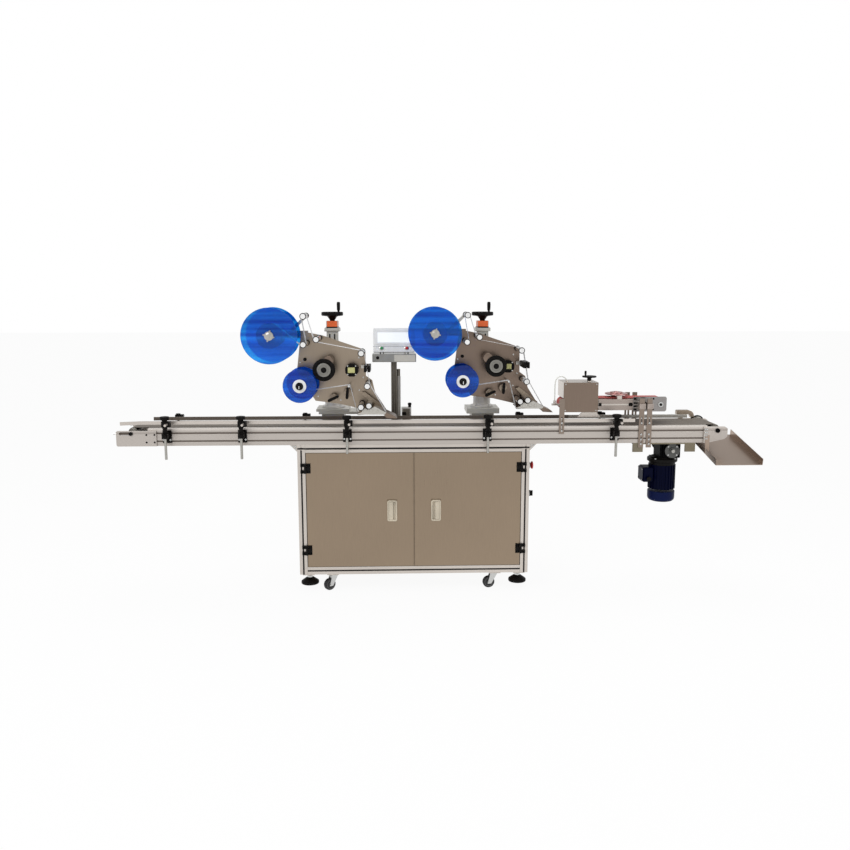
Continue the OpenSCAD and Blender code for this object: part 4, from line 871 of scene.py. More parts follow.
def peel_unit(head, plate):
    """Silver rollers and guards of the peel plate, and the thin black wedge at its tip."""
    y = front(head)
    for index, (share, radius, near, far) in enumerate(STUDS):
        stages = [(near - 2, 3), (near - 2, radius * 0.55), (near, radius * 0.6), (near, radius * 0.9),
                  (near + 1, radius), (far - 1, radius), (far, radius - 1)]
        plate.turned(f"peel_stud_{index + 1}", spot(head, share), "Y", stages, "aluminium", 32)
    guard = [(0.93, 0.2), (0.985, 0.215), (1.27, 0.012), (1.262, -0.004), (1.2, 0.03), (1.03, 0.1)]
    shelf = [(0.895, -0.036), (0.9, -0.022), (1.14, 0.066), (1.288, -0.008), (1.296, -0.014), (1.275, -0.038)]
    wedge = [(1.231, -0.016), (1.281, -0.01), (1.424, -0.072), (1.45, -0.1), (1.3, -0.092)]
    for name, shares, near, far, finish, bevel in (("peel_guard", guard, 146, 149, "stainless", 0.6),
                                                   ("peel_edge", shelf, 10.6, 13.4, "aluminium", 0.5),
                                                   ("wedge", wedge, 38, 142, "dark stainless", 0.8)):
        plate.cut(name, [on(head, share) for share in shares], y + near, y + far, finish, bevel)


def leave_angle(a, b):
    """The angle at which a web leaves circle a towards circle b; side 1 is passed clockwise."""
    dx, dz = b[0][0] - a[0][0], b[0][1] - a[0][1]
    share = (a[1] - a[2] * b[2] * b[1]) / math.hypot(dx, dz)
    return math.atan2(dz, dx) + a[2] * math.acos(max(-1, min(1, share)))


def web_route(circles, first=False, last=False):
    """A route that follows circles in turn, and may lie some way round its first and last ones."""
    route = []
    for k, circle in enumerate(circles):
        (x, z), radius, side = circle
        arrive = leave = None
        if k > 0:
            arrive = leave_angle(circles[k - 1], circle)
            if circles[k - 1][2] != side:
                arrive += math.pi
        if k < len(circles) - 1:
            leave = leave_angle(circle, circles[k + 1])
        if arrive is None:
            arrive = leave + side * WEB_WRAP if first else leave
        if leave is None:
            leave = arrive - side * WEB_WRAP if last else arrive
        sweep = ((arrive - leave) * side) % (2 * math.pi)
        steps = max(1, int(sweep / WEB_STEP))
        for step in range(steps + 1):
            turn = arrive - side * sweep * step / steps
            route.append((x + radius * math.cos(turn), z + radius * math.sin(turn)))
    return route


def webs(head):
    """The label web: roll, rollers, peel tip and back to the take-up reel."""
    body = head + "_head_plate"
    plate = Group(body, "steel", head + "_")
    y0, y1 = front(head, WEB[0]), front(head, WEB[1])
    places = {"supply": (SUPPLY, 62 + WEB_GAP, 1), "takeup": (TAKEUP, 30 + WEB_GAP, 1),
              "a": (ROLLERS[0], TUBE_RADIUS + WEB_GAP, -1), "b": (ROLLERS[1], TUBE_RADIUS + WEB_GAP, -1),
              "c": (ROLLERS[2], TUBE_RADIUS + WEB_GAP, 1), "d": (ROLLERS[3], TUBE_RADIUS + WEB_GAP, 1),
              "dancer": (DANCER, TUBE_RADIUS + WEB_GAP, 1), "tip": (TIP, 2, 1), "corner": (CORNER, 3, 1),
              "pin": (PIN, 5.4 + WEB_GAP, -1)}
    ring = {name: (on(head, share), radius, side) for name, (share, radius, side) in places.items()}
    plate.band("web_supply", web_route([ring["supply"], ring["a"]], first=True), y0, y1, "web")
    loop = web_route([ring["a"], ring["dancer"], ring["b"]])
    loop = Group(None, "steel", head + "_").band("web_dancer", loop, y0, y1, "web")
    feed = [ring[k] for k in ("b", "c", "d", "tip", "corner", "pin", "takeup")]
    plate.band("web_feed", web_route(feed, last=True), y0, y1, "web")
    plate.turned("web_pin", spot(head, PIN), "Y", foot_rim(16, 5.4, 0.8) + rim(179.7, 5.4, 0.6), "chrome", 24)
    middle = ((ROLLERS[0][0] + ROLLERS[1][0]) / 2, (ROLLERS[0][1] + ROLLERS[1][1]) / 2 + 0.05)
    spot(head, middle, WEB[0] + 25)
    spot(head, (DANCER[0], DANCER[1] - 0.04), WEB[0] + 25)
    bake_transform(loop)


def plate_details(head, plate):
    """Screws and a plug on the main plate, and the rear pinch roller seen over the drive ring."""
    shares = [(0.06, 0.93), (0.05, 0.6), (0.3, 0.15), (0.63, 0.1), (0.9, 0.66), (0.96, 0.4), (0.9, 0.23)]
    plate.screws("plate_screws", 4.2, [spot(head, share, HEAD_D - 0.2) for share in shares])
    x, z = DRIVE[head][0] + PINCH_SHIFT[head], DRIVE[head][1] + 0.11
    pinch = [(70, 3), (70, 12), (71, 24), (72, 25), (150, 25), (151, 8), (179.7, 8)]
    plate.turned("pinch_roller", spot(head, (x, z)), "Y", pinch, "dark stainless", 48)
    plug = [(-9, 3), (-9, 7.6), (-8, 8.6), (-0.3, 8.6)]
    plate.turned("plate_plug", spot(head, (0.12, 0.64), HEAD_D), "Y", plug, "black", 24)


for head in HEADS:
    supply_reel(head)
    takeup_reel(head)
    head_rollers(head)
    dancer(head)
    drive_roller(head)
    plate = Group(head + "_head_plate", "black", head + "_")
    stepper(head, plate)
    sensor(head, plate)
    levers(head, plate)
    plate = Group(head + "_head_plate", "stainless", head + "_")
    peel_unit(head, plate)
    webs(head)
    plate_details(head, plate)

# Columns

COLUMN_Y = 380
COLUMN_TOP = 1335


def column_details(head):
    """Painted shade in the slots, and the cap and screws of a column, its orange counter and its round base
    flange.
    """
    x, y = HEADS[head][0], COLUMN_Y
    column = Group("base", "frame_alu", head + "_")
    # Dark strips on the column's face are painted shade in its slots.
    for name, side in (("a", -1), ("b", 1)):
        column.block("column_slot_shade_" + name, (x + side * 13 - 4, y - 30.6, 1120),
                     (x + side * 13 + 4, y - 29.6, 1322), "painted groove shade", 0.3, ("Y", 3.4))
    places = [at(x + a * 32, y + b * 32, COLUMN_TOP + 18) for a in (-1, 1) for b in (-1, 1)]
    column.screws("cap_screws", 4, places, axis="Z")
    for name, half, low, high, finish, bevel, corner in (("cap_lip", 41.6, 1, 7, "aluminium", 1, 5),
                                                         ("counter", 31.4, 18.4, 55.2, "orange", 1.2, 7),
                                                         ("counter_skirt", 32.2, 18.2, 25, "black", 0.8, 7)):
        piece = column.block(name, (x - half, y - half, COLUMN_TOP + low),
                             (x + half, y + half, COLUMN_TOP + high), finish, bevel, ("Z", corner))
        if name == "counter":
            sink(piece, 6, 0.6)
    flange = [(0, 40), (0, 61), (1, 62), (9, 62), (10, 61), (10, 50), (14, 47), (20, 46.6), (58, 46.6),
              (60, 45), (60, 30.5)]
    column.turned("base_flange", at(x, y, 922.6), "Z", flange, "pale metal", 64)
    column.screws("flange_screws", 5.4, four_round(x, y, 932.4, 54), axis="Z")


def handwheel(head):
    x, y = HEADS[head][0], COLUMN_Y
    body = head + "_handwheel"
    group = Group(body, "black", body + "_")
    base = COLUMN_TOP + 55.3
    wheel = [(0, 6), (0, 12), (1, 13), (4, 13.4), (22, 25), (25, 32), (27, 50), (28, 56), (31, 58.2),
             (44, 58.2), (47, 56), (48, 51), (45, 48), (37, 43), (35, 16), (45, 13), (47, 11)]
    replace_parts(group.turned("wheel", at(x, y, base), "Z", wheel, "black", 64), body)
    grip = [(0, 4), (0, 6.2), (2, 7.4), (6, 5.6), (9, 6.4), (14, 8.6), (40, 9.4), (52, 8.8), (55.6, 6.4),
            (56, 3)]
    group.turned("grip", at(x + 34, y, base + 45), "Z", grip, "black", 32)
    group.turned("screw", at(x, y, 936), "Z", [(0, 5.4), (1, 6), (454, 6), (454.4, 5)], "bright", 24)


# Touch panel

PANEL_X = -98
TILT_Y = 332
TILT_Z = 1224
PANEL_LEAN = 12


def in_panel(group, piece):
    """Leans a piece, drawn upright about the tilt pin, back with the panel."""
    only(piece)
    pin = at(PANEL_X, TILT_Y, TILT_Z)
    turn = Matrix.Rotation(math.radians(-PANEL_LEAN), 4, "X")
    piece.matrix_world = Matrix.Translation(pin) @ turn @ Matrix.Translation(-pin) @ piece.matrix_world
    apply_place()
    return group.settle(piece)


def touch_panel():
    x, y, z = PANEL_X, TILT_Y, TILT_Z
    face = y - 44
    panel = Group("touch_panel", "panel", "panel_")
    # The gap block is painted shade between the case and the strip below it.
    for name, half, y0, y1, low, high, finish, bevel, corners in (
            ("case", 111, face - 0.6, y - 13.4, 24.5, 122.6, "panel", 1.2, ("Y", 6)),
            ("bezel", 102, face - 3, face + 1, 33.5, 113.6, "panel", 1.6, None),
            ("strip", 111, face - 0.4, y - 13.6, -4.6, 23.6, "panel", 1, ("Y", 3)),
            ("screen", 88.6, face - 1.4, face + 1.4, 46, 101.6, "screen", 0.6, ("Y", 1.5)),
            ("gap", 110.4, face + 0.6, y - 14.4, 23.2, 25, "painted groove shade", 0.2, None)):
        piece = panel.block(name, (x - half, y0, z + low), (x + half, y1, z + high), finish, bevel, corners)
        if name == "bezel":
            sink(piece, 11, 2.6)
        in_panel(panel, piece)
        if name == "case":
            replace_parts(piece, "touch_panel")
    for side, s in (("left", -1), ("right", 1)):
        ear = [(-9, 4), (-9, 8.4), (-8, 9.4), (-3, 9.4), (-2, 8.4)]
        panel.turned("pivot_" + side, at(x + s * 74 + 5.5, y, z), "X", ear, "black", 24)
    for colour, s in (("green", -1), ("red", 1)):
        name = colour + "_button"
        button = Group(name, colour, name + "_")
        place = at(x + s * 66.5, face, z + 15)
        cap = [(-7.6, 4), (-7.4, 6), (-6.6, 7.4), (-5.6, 8), (5.4, 8), (5.8, 6)]
        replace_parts(in_panel(button, button.turned("cap", place, "Y", cap, colour, 32)), name)
        holder = Group("touch_panel", "bright", name + "_")
        bezel = [(-2.6, 8.9), (-2.6, 10.8), (-1.8, 12), (0.4, 12.4), (0.4, 8.9)]
        in_panel(holder, holder.turned("bezel", place, "Y", bezel, "bright", 32))


def panel_stand():
    """Edges and hole of the support box, painted shade in the grooves of the post, conduit rings and the
    product sensor.
    """
    stand = Group("base", "steel")
    box = stand.block("stand_box", (-214.6, 283.4, 1174.6), (18.6, 380.6, 1216.5), "stand grey", 1.4,
                      ("Z", 3))
    sink(box, 3, -0.8)
    hole = [(-3.2, 2), (-3.2, 7.4), (-2.6, 8.6), (-1.4, 8.6)]
    stand.turned("stand_box_hole", at(-186, 284.4, 1198), "Y", hole, "black", 24)
    stand.block("stand_box_plate", (-98, 281.6, 1177.5), (14, 282.8, 1213.5), "aluminium", 0.4, ("Y", 2))
    # Dark strips in the post's grooves are painted shade.
    for side, x in (("left", -105.5), ("right", -94.5)):
        stand.block("stand_groove_shade_" + side, (x - 1.6, 331.2, 795), (x + 1.6, 332.4, 1172), "painted groove shade", 0.2)
    rings = [(0, 9.3)]
    for low in [step * 12.5 for step in range(24)]:
        rings += [(low + 1, 10.6), (low + 6, 10.9), (low + 11, 10.6), (low + 12.5, 9.5)]
    stand.turned("stand_conduit", at(-75.3, 351, 794), "Z", rings + [(302, 8)], "conduit", 28)
    eye = stand.block("product_sensor", (-60.6, 331.4, 792), (-7.4, 370.6, 924.6), "pale metal", 1.2,
                      ("Z", 2))
    sink(eye, 6, 1)
    stand.block("product_sensor_window", (-56, 330.6, 882), (-36, 331.6, 900), "black", 0.3)
    knob = [(0, 8.3), (10, 8.3), (10.4, 9.6), (18, 10.4), (22, 9.8), (24, 6)]
    stand.turned("product_sensor_knob", at(-16, 351, 924.4), "Z", knob, "black", 28)


# Press belt unit

PULLEY_X = {"left": 787, "right": 1272}
PRESS_AXLE_Z = 970
CABLE_ROUTE = [(727, 84, 990), (727, 84, 1005), (727, 84, 1020), (727, 84, 1035), (727, 84, 1050),
               (727, 84, 1065), (728, 84, 1080), (731, 84, 1094), (738, 84, 1106), (750, 84, 1114),
               (764, 84, 1115), (776, 84, 1109), (785, 84, 1100), (788, 84, 1094)]


def press_cord():
    curve = bpy.data.curves.new("press_cord", "CURVE")
    curve.dimensions = "3D"
    curve.bevel_depth = 3 * MM
    curve.bevel_resolution = 4
    curve.resolution_u = 4
    spline = curve.splines.new("POLY")
    route = [at(*place) for place in CABLE_ROUTE]
    spline.points.add(len(route) - 1)
    for point, place in zip(spline.points, route):
        point.co = (*place, 1)
    cord = link("press_cord", curve)
    dress(cord, "cable")
    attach(cord, "press_frame")
    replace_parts(cord, "press_cable")


def press_unit():
    press = Group("press_frame", "stainless", "press_")
    # The cover's top takes a lighter stainless than its front: a painted highlight on the top face.
    cover = press.block("cover_front", (764.2, 38.6, 935), (942, 40.4, 1086.8), "dark stainless", 0.5)
    sink(cover, 0.9, -0.4)
    press.block("cover_top", (764.4, 39, 1086.2), (941.8, 196.6, 1087.6), "light stainless", 0.5)
    press.screws("cover_screws", 3.2, [at(x, 38.4, z) for x in (774, 932) for z in (944, 1078)])
    places = [at(x, 59.9, z) for x in (1136, 1142) for z in (946, 962, 978, 1000)]
    places += [at(x, 59.9, z) for x in (1222, 1234) for z in (946, 1000)]
    press.screws("cheek_screws", 4.4, places, "dark_metal")
    knob = [(-9, 3), (-8.6, 7), (-6.6, 8.2), (-0.4, 8.6)]
    axle = at(PULLEY_X["right"], 59.8, PRESS_AXLE_Z)
    press.turned("axle_nut", axle, "Y", knob, "black", 6)
    ring = [(-5, 8.8), (-5, 13), (-4, 14), (-0.3, 14)]
    press.turned("axle_washer", axle, "Y", ring, "bright", 32)
    stack = [(0, 30), (0, 57.6), (1, 58.2), (5, 58.2), (6, 57.6), (6.4, 34), (7, 32.8), (11.4, 32.6),
             (12.2, 31.8), (12.4, 12), (15, 11.4), (15.6, 10), (15.6, 4)]
    press.turned("discs", at(1059, 135, 1016.1), "Z", stack, "pale red", 64)
    for name, low, high in (("lower", 941.2, 965.4), ("upper", 974.2, 997.8)):
        press.block("beam_" + name, (950.4, 61.5, low), (1195.6, 62.9, high), "press alu", 0.5)
    tail = [(1128, 934), (1296, 934), (1303, 941), (1303, 1004), (1296, 1011), (1128, 1011)]
    press.cut("tail_plate", tail, 59.6, 61.9, "grey plate", 0.6)
    for name, x0, x1 in (("a", 952, 966), ("b", 1108, 1126)):
        press.block("cheek_cap_" + name, (x0, 60.6, 962), (x1, 63.4, 980), "black", 0.6)
    for name, x in (("clamp_1", 1144), ("clamp_2", 1184)):
        sink(press.block(name, (x - 3, -16, 956), (x + 29, -6.6, 984), "press alu", 1.4), 5, 1.5)
    press.cut("cover_foot", [(838, 908), (958, 908), (936, 934.4), (862, 934.4)], 44, 52, "frame_alu", 0.6)
    group = Group("press_handwheel", "black", "press_")
    stages = [(-15.6, 5.2), (-15, 5), (0, 5), (0, 9), (1, 10.4), (13, 10.6), (16, 16), (17, 30), (18, 35),
              (20, 36.4), (24, 36.4), (25.4, 34), (25.6, 12), (27, 9), (27.6, 4)]
    centre = at(905, 90, 1091.3)
    wheel = group.turned("wheel", centre, "Z", stages, "black")
    knurl(wheel, 36.4, centre, "Z")
    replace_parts(wheel, "press_handwheel")
    grip = [(0, 3.5), (3, 4), (8, 5.4), (22, 5.8), (25.4, 4.6), (26.4, 2)]
    group.turned("grip", at(885, 90, 1116.4), "Z", grip, "black", 24)
    stages = [(-72, 3.2), (-71.6, 4), (-45.4, 4), (-45.4, 28.6), (-44.4, 29.7), (44.4, 29.7), (45.4, 28.6),
              (45.4, 4), (71.6, 4), (72, 3.2)]
    for side, x in PULLEY_X.items():
        name = "press_pulley_" + side
        pulley = Group(name, "steel", name + "_")
        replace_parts(pulley.turned("drum", at(x, 135, PRESS_AXLE_Z), "Y", stages, "steel"), name)


def bar_details():
    """Screws on the slotted bars and the bent guard behind the belt's end."""
    places = []
    for x, heights in ((749, (846, 886)), (1157, (776, 800, 826, 884)), (1197, (776, 800, 826, 884))):
        places += [at(x, -6.4, z) for z in heights]
    Group("base", "frame_alu").screws("bar_screws", 5.2, places)
    guard = Group("base", "stainless", "exit_guard")
    outline = [(1430, 888), (1430, 906), (1434, 910), (1496, 910), (1512, 904), (1522, 892), (1526, 878),
               (1526, 870), (1508, 870), (1504, 880), (1496, 888)]
    guard.cut("", outline, 272, 300, "stainless", 0.6)
    guard.block("_lug", (1438, 270.4, 846), (1464, 280, 906.4), "stainless", 0.6)


# Drive

MOTOR_X = 1312
MOTOR_Y = 120
GEAR_X = 1341
GEAR_Z = 729
MOTOR_TOP = GEAR_Z - 39.2


def drive_motor():
    """Ribbed motor body with its flange, fan cover, terminal box and lid."""
    x, y, z = MOTOR_X, MOTOR_Y, MOTOR_TOP
    centre = at(x, y, z)
    motor = Group("base", "navy")
    flange = [(-44, 60), (-42, 66.4), (-28, 68), (-25, 76), (-23, 77.6), (-10, 77.6), (-8, 76), (-7, 66),
              (-0.4, 60)]
    motor.turned("motor_flange", centre, "Z", flange, "black", 72)
    body = [(-172, 61), (-170, 65.6), (-42, 65.6), (-40, 56)]
    body = motor.turned("motor_body", centre, "Z", body, "navy", 72)

    def fin(face):
        out = face.center - centre
        heights = [body.data.vertices[v].co.z for v in face.vertices]
        return max(heights) - min(heights) > 0.1 and sector(out.x, out.y, 72) % 3 == 0

    choose(body, fin)
    raise_faces(4.4)
    leave_edit()
    smooth(FLUTE_ANGLE)
    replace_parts(body, "drive_motor")
    cowl = [(-237, 20), (-237, 24), (-234, 24.6), (-237.6, 26), (-237.6, 53), (-235, 61), (-229, 67),
            (-220, 69.8), (-186, 70.2), (-184, 69.8), (-183.4, 65)]
    cowl = motor.turned("motor_fan_cover", centre, "Z", cowl, "fan blue", 72)
    choose(cowl, lambda face: face.normal.z < -0.9 and (face.center - centre).xy.length > 0.03)
    bpy.ops.mesh.inset(thickness=1.6 * MM, depth=0, use_individual=True)
    raise_faces(-2)
    leave_edit()
    box = motor.block("terminal_box", (x - 107, y - 46, z - 132.6), (x - 60, y + 46, z - 53.4), "navy", 2,
                      ("X", 10))
    sink(box, 3, -3.2, (-1, 0, 0))
    motor.block("terminal_lid", (x - 113.6, y - 42, z - 129), (x - 110, y + 42, z - 57), "navy", 1.2,
                ("X", 9))
    gland = [(0, 8), (0, 11), (2, 12), (8, 12), (9, 9.6), (16, 9), (18, 7.4), (18.4, 4)]
    motor.turned("terminal_gland", at(x - 84, y - 64.4, z - 112), "Y", gland, "black", 24)
    places = [at(x - 113.4, y + a * 34, z - 93 + b * 28) for a in (-1, 1) for b in (-1, 1)]
    motor.screws("terminal_screws", 3.4, places, axis="X")
    motor.screws("motor_flange_bolts", 6.5, four_round(x, y, z - 8.2, 71), axis="Z", hexagon=True)


def gearbox_details():
    """Flange ring, screws and ribs of the worm gearbox, and the mounting plate's own colour."""
    gear = Group("base", "dark_metal", "gearbox_")
    face = [(-17.2, 12), (-17.2, 17), (-16, 18), (-13.4, 18), (-13, 30), (-13, 37.4), (-12, 38.6),
            (-0.2, 38.6)]
    gear.turned("flange", at(GEAR_X, 62, GEAR_Z), "Y", face, "casting")
    shaft = [(-27, 5), (-26.4, 9.2), (-24, 10.4), (-17, 10.4), (-17, 8)]
    gear.turned("shaft_end", at(GEAR_X, 62, GEAR_Z), "Y", shaft, "steel", 32)
    gear.screws("screws", 4.4, four_round(GEAR_X, 48.8, GEAR_Z, 31, upright=True))
    gear.block("shell", (1279.4, 61.2, 689.2), (1386.6, 62.6, 768.8), "dark_metal", 0.5, ("Y", 6))
    for name, x in (("rib_1", 1282), ("rib_2", 1292)):
        gear.block(name, (x, 54, 694), (x + 5, 62.2, 764), "dark_metal")
    mount = Group("base", "dark_metal", "mount_")
    for name, x0, x1 in (("cheek_1", 1117.4, 1170.6), ("cheek_2", 1387.4, 1440.6)):
        sink(mount.block(name, (x0, -1.4, 733.4), (x1, 6.6, 774.6), "olive", 0.8), 4, -0.8)
    mount.block("lip", (1118.4, -1.6, 773.4), (1439.6, 0.2, 780.2), "olive", 0.4)


# Cabinet

HINGES = (231, 660)
HINGE_X = 549.8
BUTTON_Y = 100
STOP_Z = 649
SWITCH_Z = 499
FRONT_FOOT_Y = 65
REAR_FOOT_Y = 535
FOOT_X = 545
WHEEL_R = 31.5
TRAIL = 27
CASTERS = {"front_left": (-420, FRONT_FOOT_Y, 35), "front_right": (420, FRONT_FOOT_Y, 8),
           "rear_left": (-420, REAR_FOOT_Y, -20), "rear_right": (420, REAR_FOOT_Y, 15)}


def door_fittings(side, s):
    """Moulded pull cup and hinge screws of one door."""
    door = Group(side + "_door", "stainless", side + "_")
    x = s * 112
    cup = door.block("door_cup", (x - 25, -13.4, 383.6), (x + 25, 0.4, 492.4), "cream", 1.6, ("Y", 9))
    sink(cup, 6, 10.4)
    near, far = sorted((x + s * 18.4, x - s * 4))
    door.block("door_cup_hood", (near, -12.4, 392), (far, -7.4, 484), "cream", 1.2, ("Y", 4))
    door.block("door_edge", (s * 4 - 1.6, -2.2, 146), (s * 4 + 1.6, 0.2, 734), "door", 0.5)
    barrel = [(-8, 5), (-8, 6.3), (-7.6, 6.8), (7.6, 6.8), (8, 6.3), (8, 5)]
    for index, z in enumerate(HINGES):
        near, far = sorted((s * 524.2, s * 543.6))
        door.block(f"hinge_leaf_{index + 1}", (near, -4, z - 25.4), (far, -2.8, z + 25.4), "black", 0.4)
        near, far = sorted((s * 524.6, s * 547))
        door.block(f"hinge_arm_{index + 1}", (near, -9.8, z - 8), (far, -3.2, z + 8), "black", 0.6)
        door.turned(f"hinge_barrel_{index + 1}", at(s * HINGE_X, -9, z), "Z", barrel, "black", 32)
    x = s * (HINGE_X - 15)
    places = [at(x + a * 6, -4, z + b * 17) for z in HINGES for a in (-1, 1) for b in (-1, 1)]
    door.screws("hinge_screws", 3.2, places, "dark_metal")


def frame_details():
    """Screws of the fixed hinge leaves and the gussets, painted shade lines in the frame's grooves, stop
    button and power switch.
    """
    frame_group = Group("base", "frame_alu")
    places = [at(s * 566, -9.2, z + b * 17) for s in (-1, 1) for z in HINGES for b in (-1, 1)]
    frame_group.screws("frame_hinge_screws", 3.6, places, "dark_metal")
    places = [at(s * (590 + a), 3.8, 780 - b) for s in (-1, 1) for a, b in ((8, 8), (20, 8), (8, 20))]
    frame_group.screws("gusset_screws", 4.6, places)
    # Dark strips in the frame's grooves, and across the posts at the top, are painted shade.
    for name, low, high in (("top", (-589, -0.4, 757), (589, 3.8, 765.4)),
                            ("bottom", (-549, 1, 116.4), (549, 3.8, 123.6)),
                            ("left", (-573.8, 0.6, 101), (-566.2, 3.8, 752)),
                            ("right", (566.2, 0.6, 101), (573.8, 3.8, 752))):
        frame_group.block("frame_line_shade_" + name, low, high, "painted groove shade", 0.2)
    collar = [(0, 15), (0, 17.6), (1, 18.6), (13, 18.6), (14, 17)]
    for name, z in (("stop_collar", STOP_Z), ("switch_collar", SWITCH_Z)):
        Group("base", "black").turned(name, at(593, BUTTON_Y, z), "X", collar, "bright", 32)
    cap = [(-2.4, 7), (5.8, 7), (6, 12), (9, 16.6), (12, 20), (16, 20), (18.6, 16.6), (20, 10), (20.4, 4)]
    button = Group("stop_button", "red", "stop_")
    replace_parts(button.turned("cap", at(604.7, BUTTON_Y, STOP_Z), "X", cap, "red", 40), "stop_button")
    switch = Group("power_switch", "black", "switch_")
    grip = [(0.3, 8), (0.3, 14), (1, 15.4), (6, 15.6), (8, 14), (8.6, 6)]
    y, z = BUTTON_Y, SWITCH_Z
    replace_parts(switch.turned("base", at(604.2, y, z), "X", grip, "black", 32), "power_switch")
    switch.block("bar", (611, y - 5, z - 14.4), (625, y + 5, z + 14.4), "black", 1.6, ("X", 4))
    switch.block("mark", (624.6, y - 1, z + 1), (625.7, y + 1, z + 13), "white face", 0.3)


def casters():
    """Tyre, hub and thread guards of each wheel, and the fork's ball race."""
    rubber = [(-10.8, 22.4), (-10.8, 27), (-9, 30), (-6, 31.3), (0, WHEEL_R), (6, 31.3), (9, 30),
              (10.8, 27), (10.8, 22.4)]
    half = [(-12.2, 4.2), (-12.2, 8), (-11, 9), (-8.6, 9.6), (-8.2, 19), (-11, 20.4), (-11.4, 22.8)]
    rolls = half + [(-height, radius) for height, radius in reversed(half)]
    race = [(0, 12), (0, 19.4), (2, 22.6), (5, 23.4), (8, 22.6), (9.4, 20), (15.4, 20), (15.6, 10)]
    for name, (x, y, turn) in CASTERS.items():
        turn = math.radians(turn)
        wheel = Group(name + "_wheel", "tyre", name + "_wheel_")
        tyre = wheel.turned("tyre", (0, 0, 0), "Y", rubber, "tyre")
        hub = wheel.turned("hub", (0, 0, 0), "Y", rolls, "caster grey", 40)
        for piece in (tyre, hub):
            piece.rotation_euler = (0, 0, turn)
            piece.location = at(x - TRAIL * math.cos(turn), y - TRAIL * math.sin(turn), WHEEL_R)
            wheel.settle(piece)
        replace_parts(tyre, wheel.body)
        fork = Group(name + "_fork", "bright", name + "_")
        fork.turned("race", at(x, y, 79.8), "Z", race, "bright", 36)


def feet():
    """Threaded stem, nut and cup of each levelling foot."""
    stem = [(0, 6)]
    for low in [step * 2.4 for step in range(11)]:
        stem += [(low + 0.4, 8.9), (low + 1.6, 8.9), (low + 2.2, 8)]
    nut = [(0, 14.4), (0.8, 15.6), (9.2, 15.6), (10, 14.4)]
    cup = [(0, 30), (0, 43), (2, 46), (6, 46.4), (11, 46), (12.6, 45.4), (22, 32.8), (32.6, 17.8), (33.4, 12)]
    group = Group("base", "black", "foot_")
    places = [at(s * FOOT_X, y, 66) for s in (-1, 1) for y in (FRONT_FOOT_Y, REAR_FOOT_Y)]
    for name, stations, finish, sides, rise in (("stems", stem + [(27, 6)], "bright", 24, 0),
                                                ("nuts", nut, "bright", 6, 1.2),
                                                ("cups", cup, "black", 48, -32.4)):
        seed = group.turned(name, (0, 0, 0), "Z", stations, finish, sides)
        group.copies(name, seed, [place + Vector((0, 0, rise * MM)) for place in places])


# Conveyor

# The clamps stand at shares of the beam's length
BEAM_X0 = -1330
BEAM_L = 2830
CLAMPS = [BEAM_X0 + share * BEAM_L for share in (0.0339, 0.1661, 0.3516, 0.6011, 0.8307)]
REAR_CLAMPS = [BEAM_X0 + share * BEAM_L for share in (0.0258, 0.2654, 0.6721, 0.83)]
CABINET_REACH = 630
POST_Y = -40
LONG_POST_FOOT = 719
SHORT_POST_FOOT = 742
END_FACE = -8.3
AXLE_Z = 844


def rod_skins():
    """Bright posts, hand knobs, clamp levers and slot bolts of the guide clamps."""
    rods = Group("base", "black")
    sleeve = [(0, 8), (0, 12), (1.6, 13), (5, 13), (6.6, 10.6), (22, 10.6), (23.6, 13), (28, 13), (29.6, 12),
              (29.6, 8)]
    collar = [(0, 8), (0, 12.4), (1, 13.2), (5.6, 13.2), (7.2, 11)]
    lever = [(-17, 3), (-16.6, 7.4), (-14, 9.6), (-6, 10.4), (-4, 7), (-0.4, 6)]
    for index, x in enumerate(CLAMPS):
        low = SHORT_POST_FOOT if abs(x) < CABINET_REACH else LONG_POST_FOOT
        post = [(-0.6, 4.6), (0.6, 6.5), (823 - low, 6.5), (823 - low, 5)]
        rods.turned(f"post_{index + 1}", at(x, POST_Y, low), "Z", post, "steel", 24)
        rods.turned(f"post_sleeve_{index + 1}", at(x, POST_Y, 852.4), "Z", sleeve, "black", 32)
        rods.turned(f"post_collar_{index + 1}", at(x, POST_Y, 910.6), "Z", collar, "black", 32)
        rods.turned(f"clamp_knob_{index + 1}_1", at(x, -54.4, 838), "Y", lever, "black", 10)
        rods.turned(f"clamp_knob_{index + 1}_2", at(x + 7, -54.4, 896.5), "Y", lever, "black", 10)
    rods.screws("clamp_bolts", 5, [at(x + a * 16, -6.3, 812) for x in CLAMPS for a in (-1, 1)])
    knob = [(-0.6, 12), (-0.6, 20.6), (1.2, 22.4), (13, 23.2), (16.2, 21.8), (17.2, 16), (17.4, 5)]
    cap = [(-0.4, 4), (-0.4, 8.4), (0.4, 9), (2, 9), (2.6, 8)]
    seed = rods.turned("post_knobs", (0, 0, 0), "Z", knob, "black", 18)
    rods.copies("post_knobs", seed, [at(x, POST_Y, 918) for x in CLAMPS])
    seed = rods.turned("rear_post_caps", (0, 0, 0), "Z", cap, "black", 12)
    rods.copies("rear_post_caps", seed, [at(x, 310, 895.5) for x in REAR_CLAMPS])
    strip = Group("rear_guide", "black", "rear_rail_")
    strip.block("strip", (-1370.6, 249.2, 872.4), (836, 256.8, 890.8), "rail brown", 0.8)
    end = Group("rear_guide", "frame_alu", "rear_rail_")
    end.block("end", (835.6, 249.4, 872.6), (1480.4, 256.6, 890.6), "aluminium", 0.8)


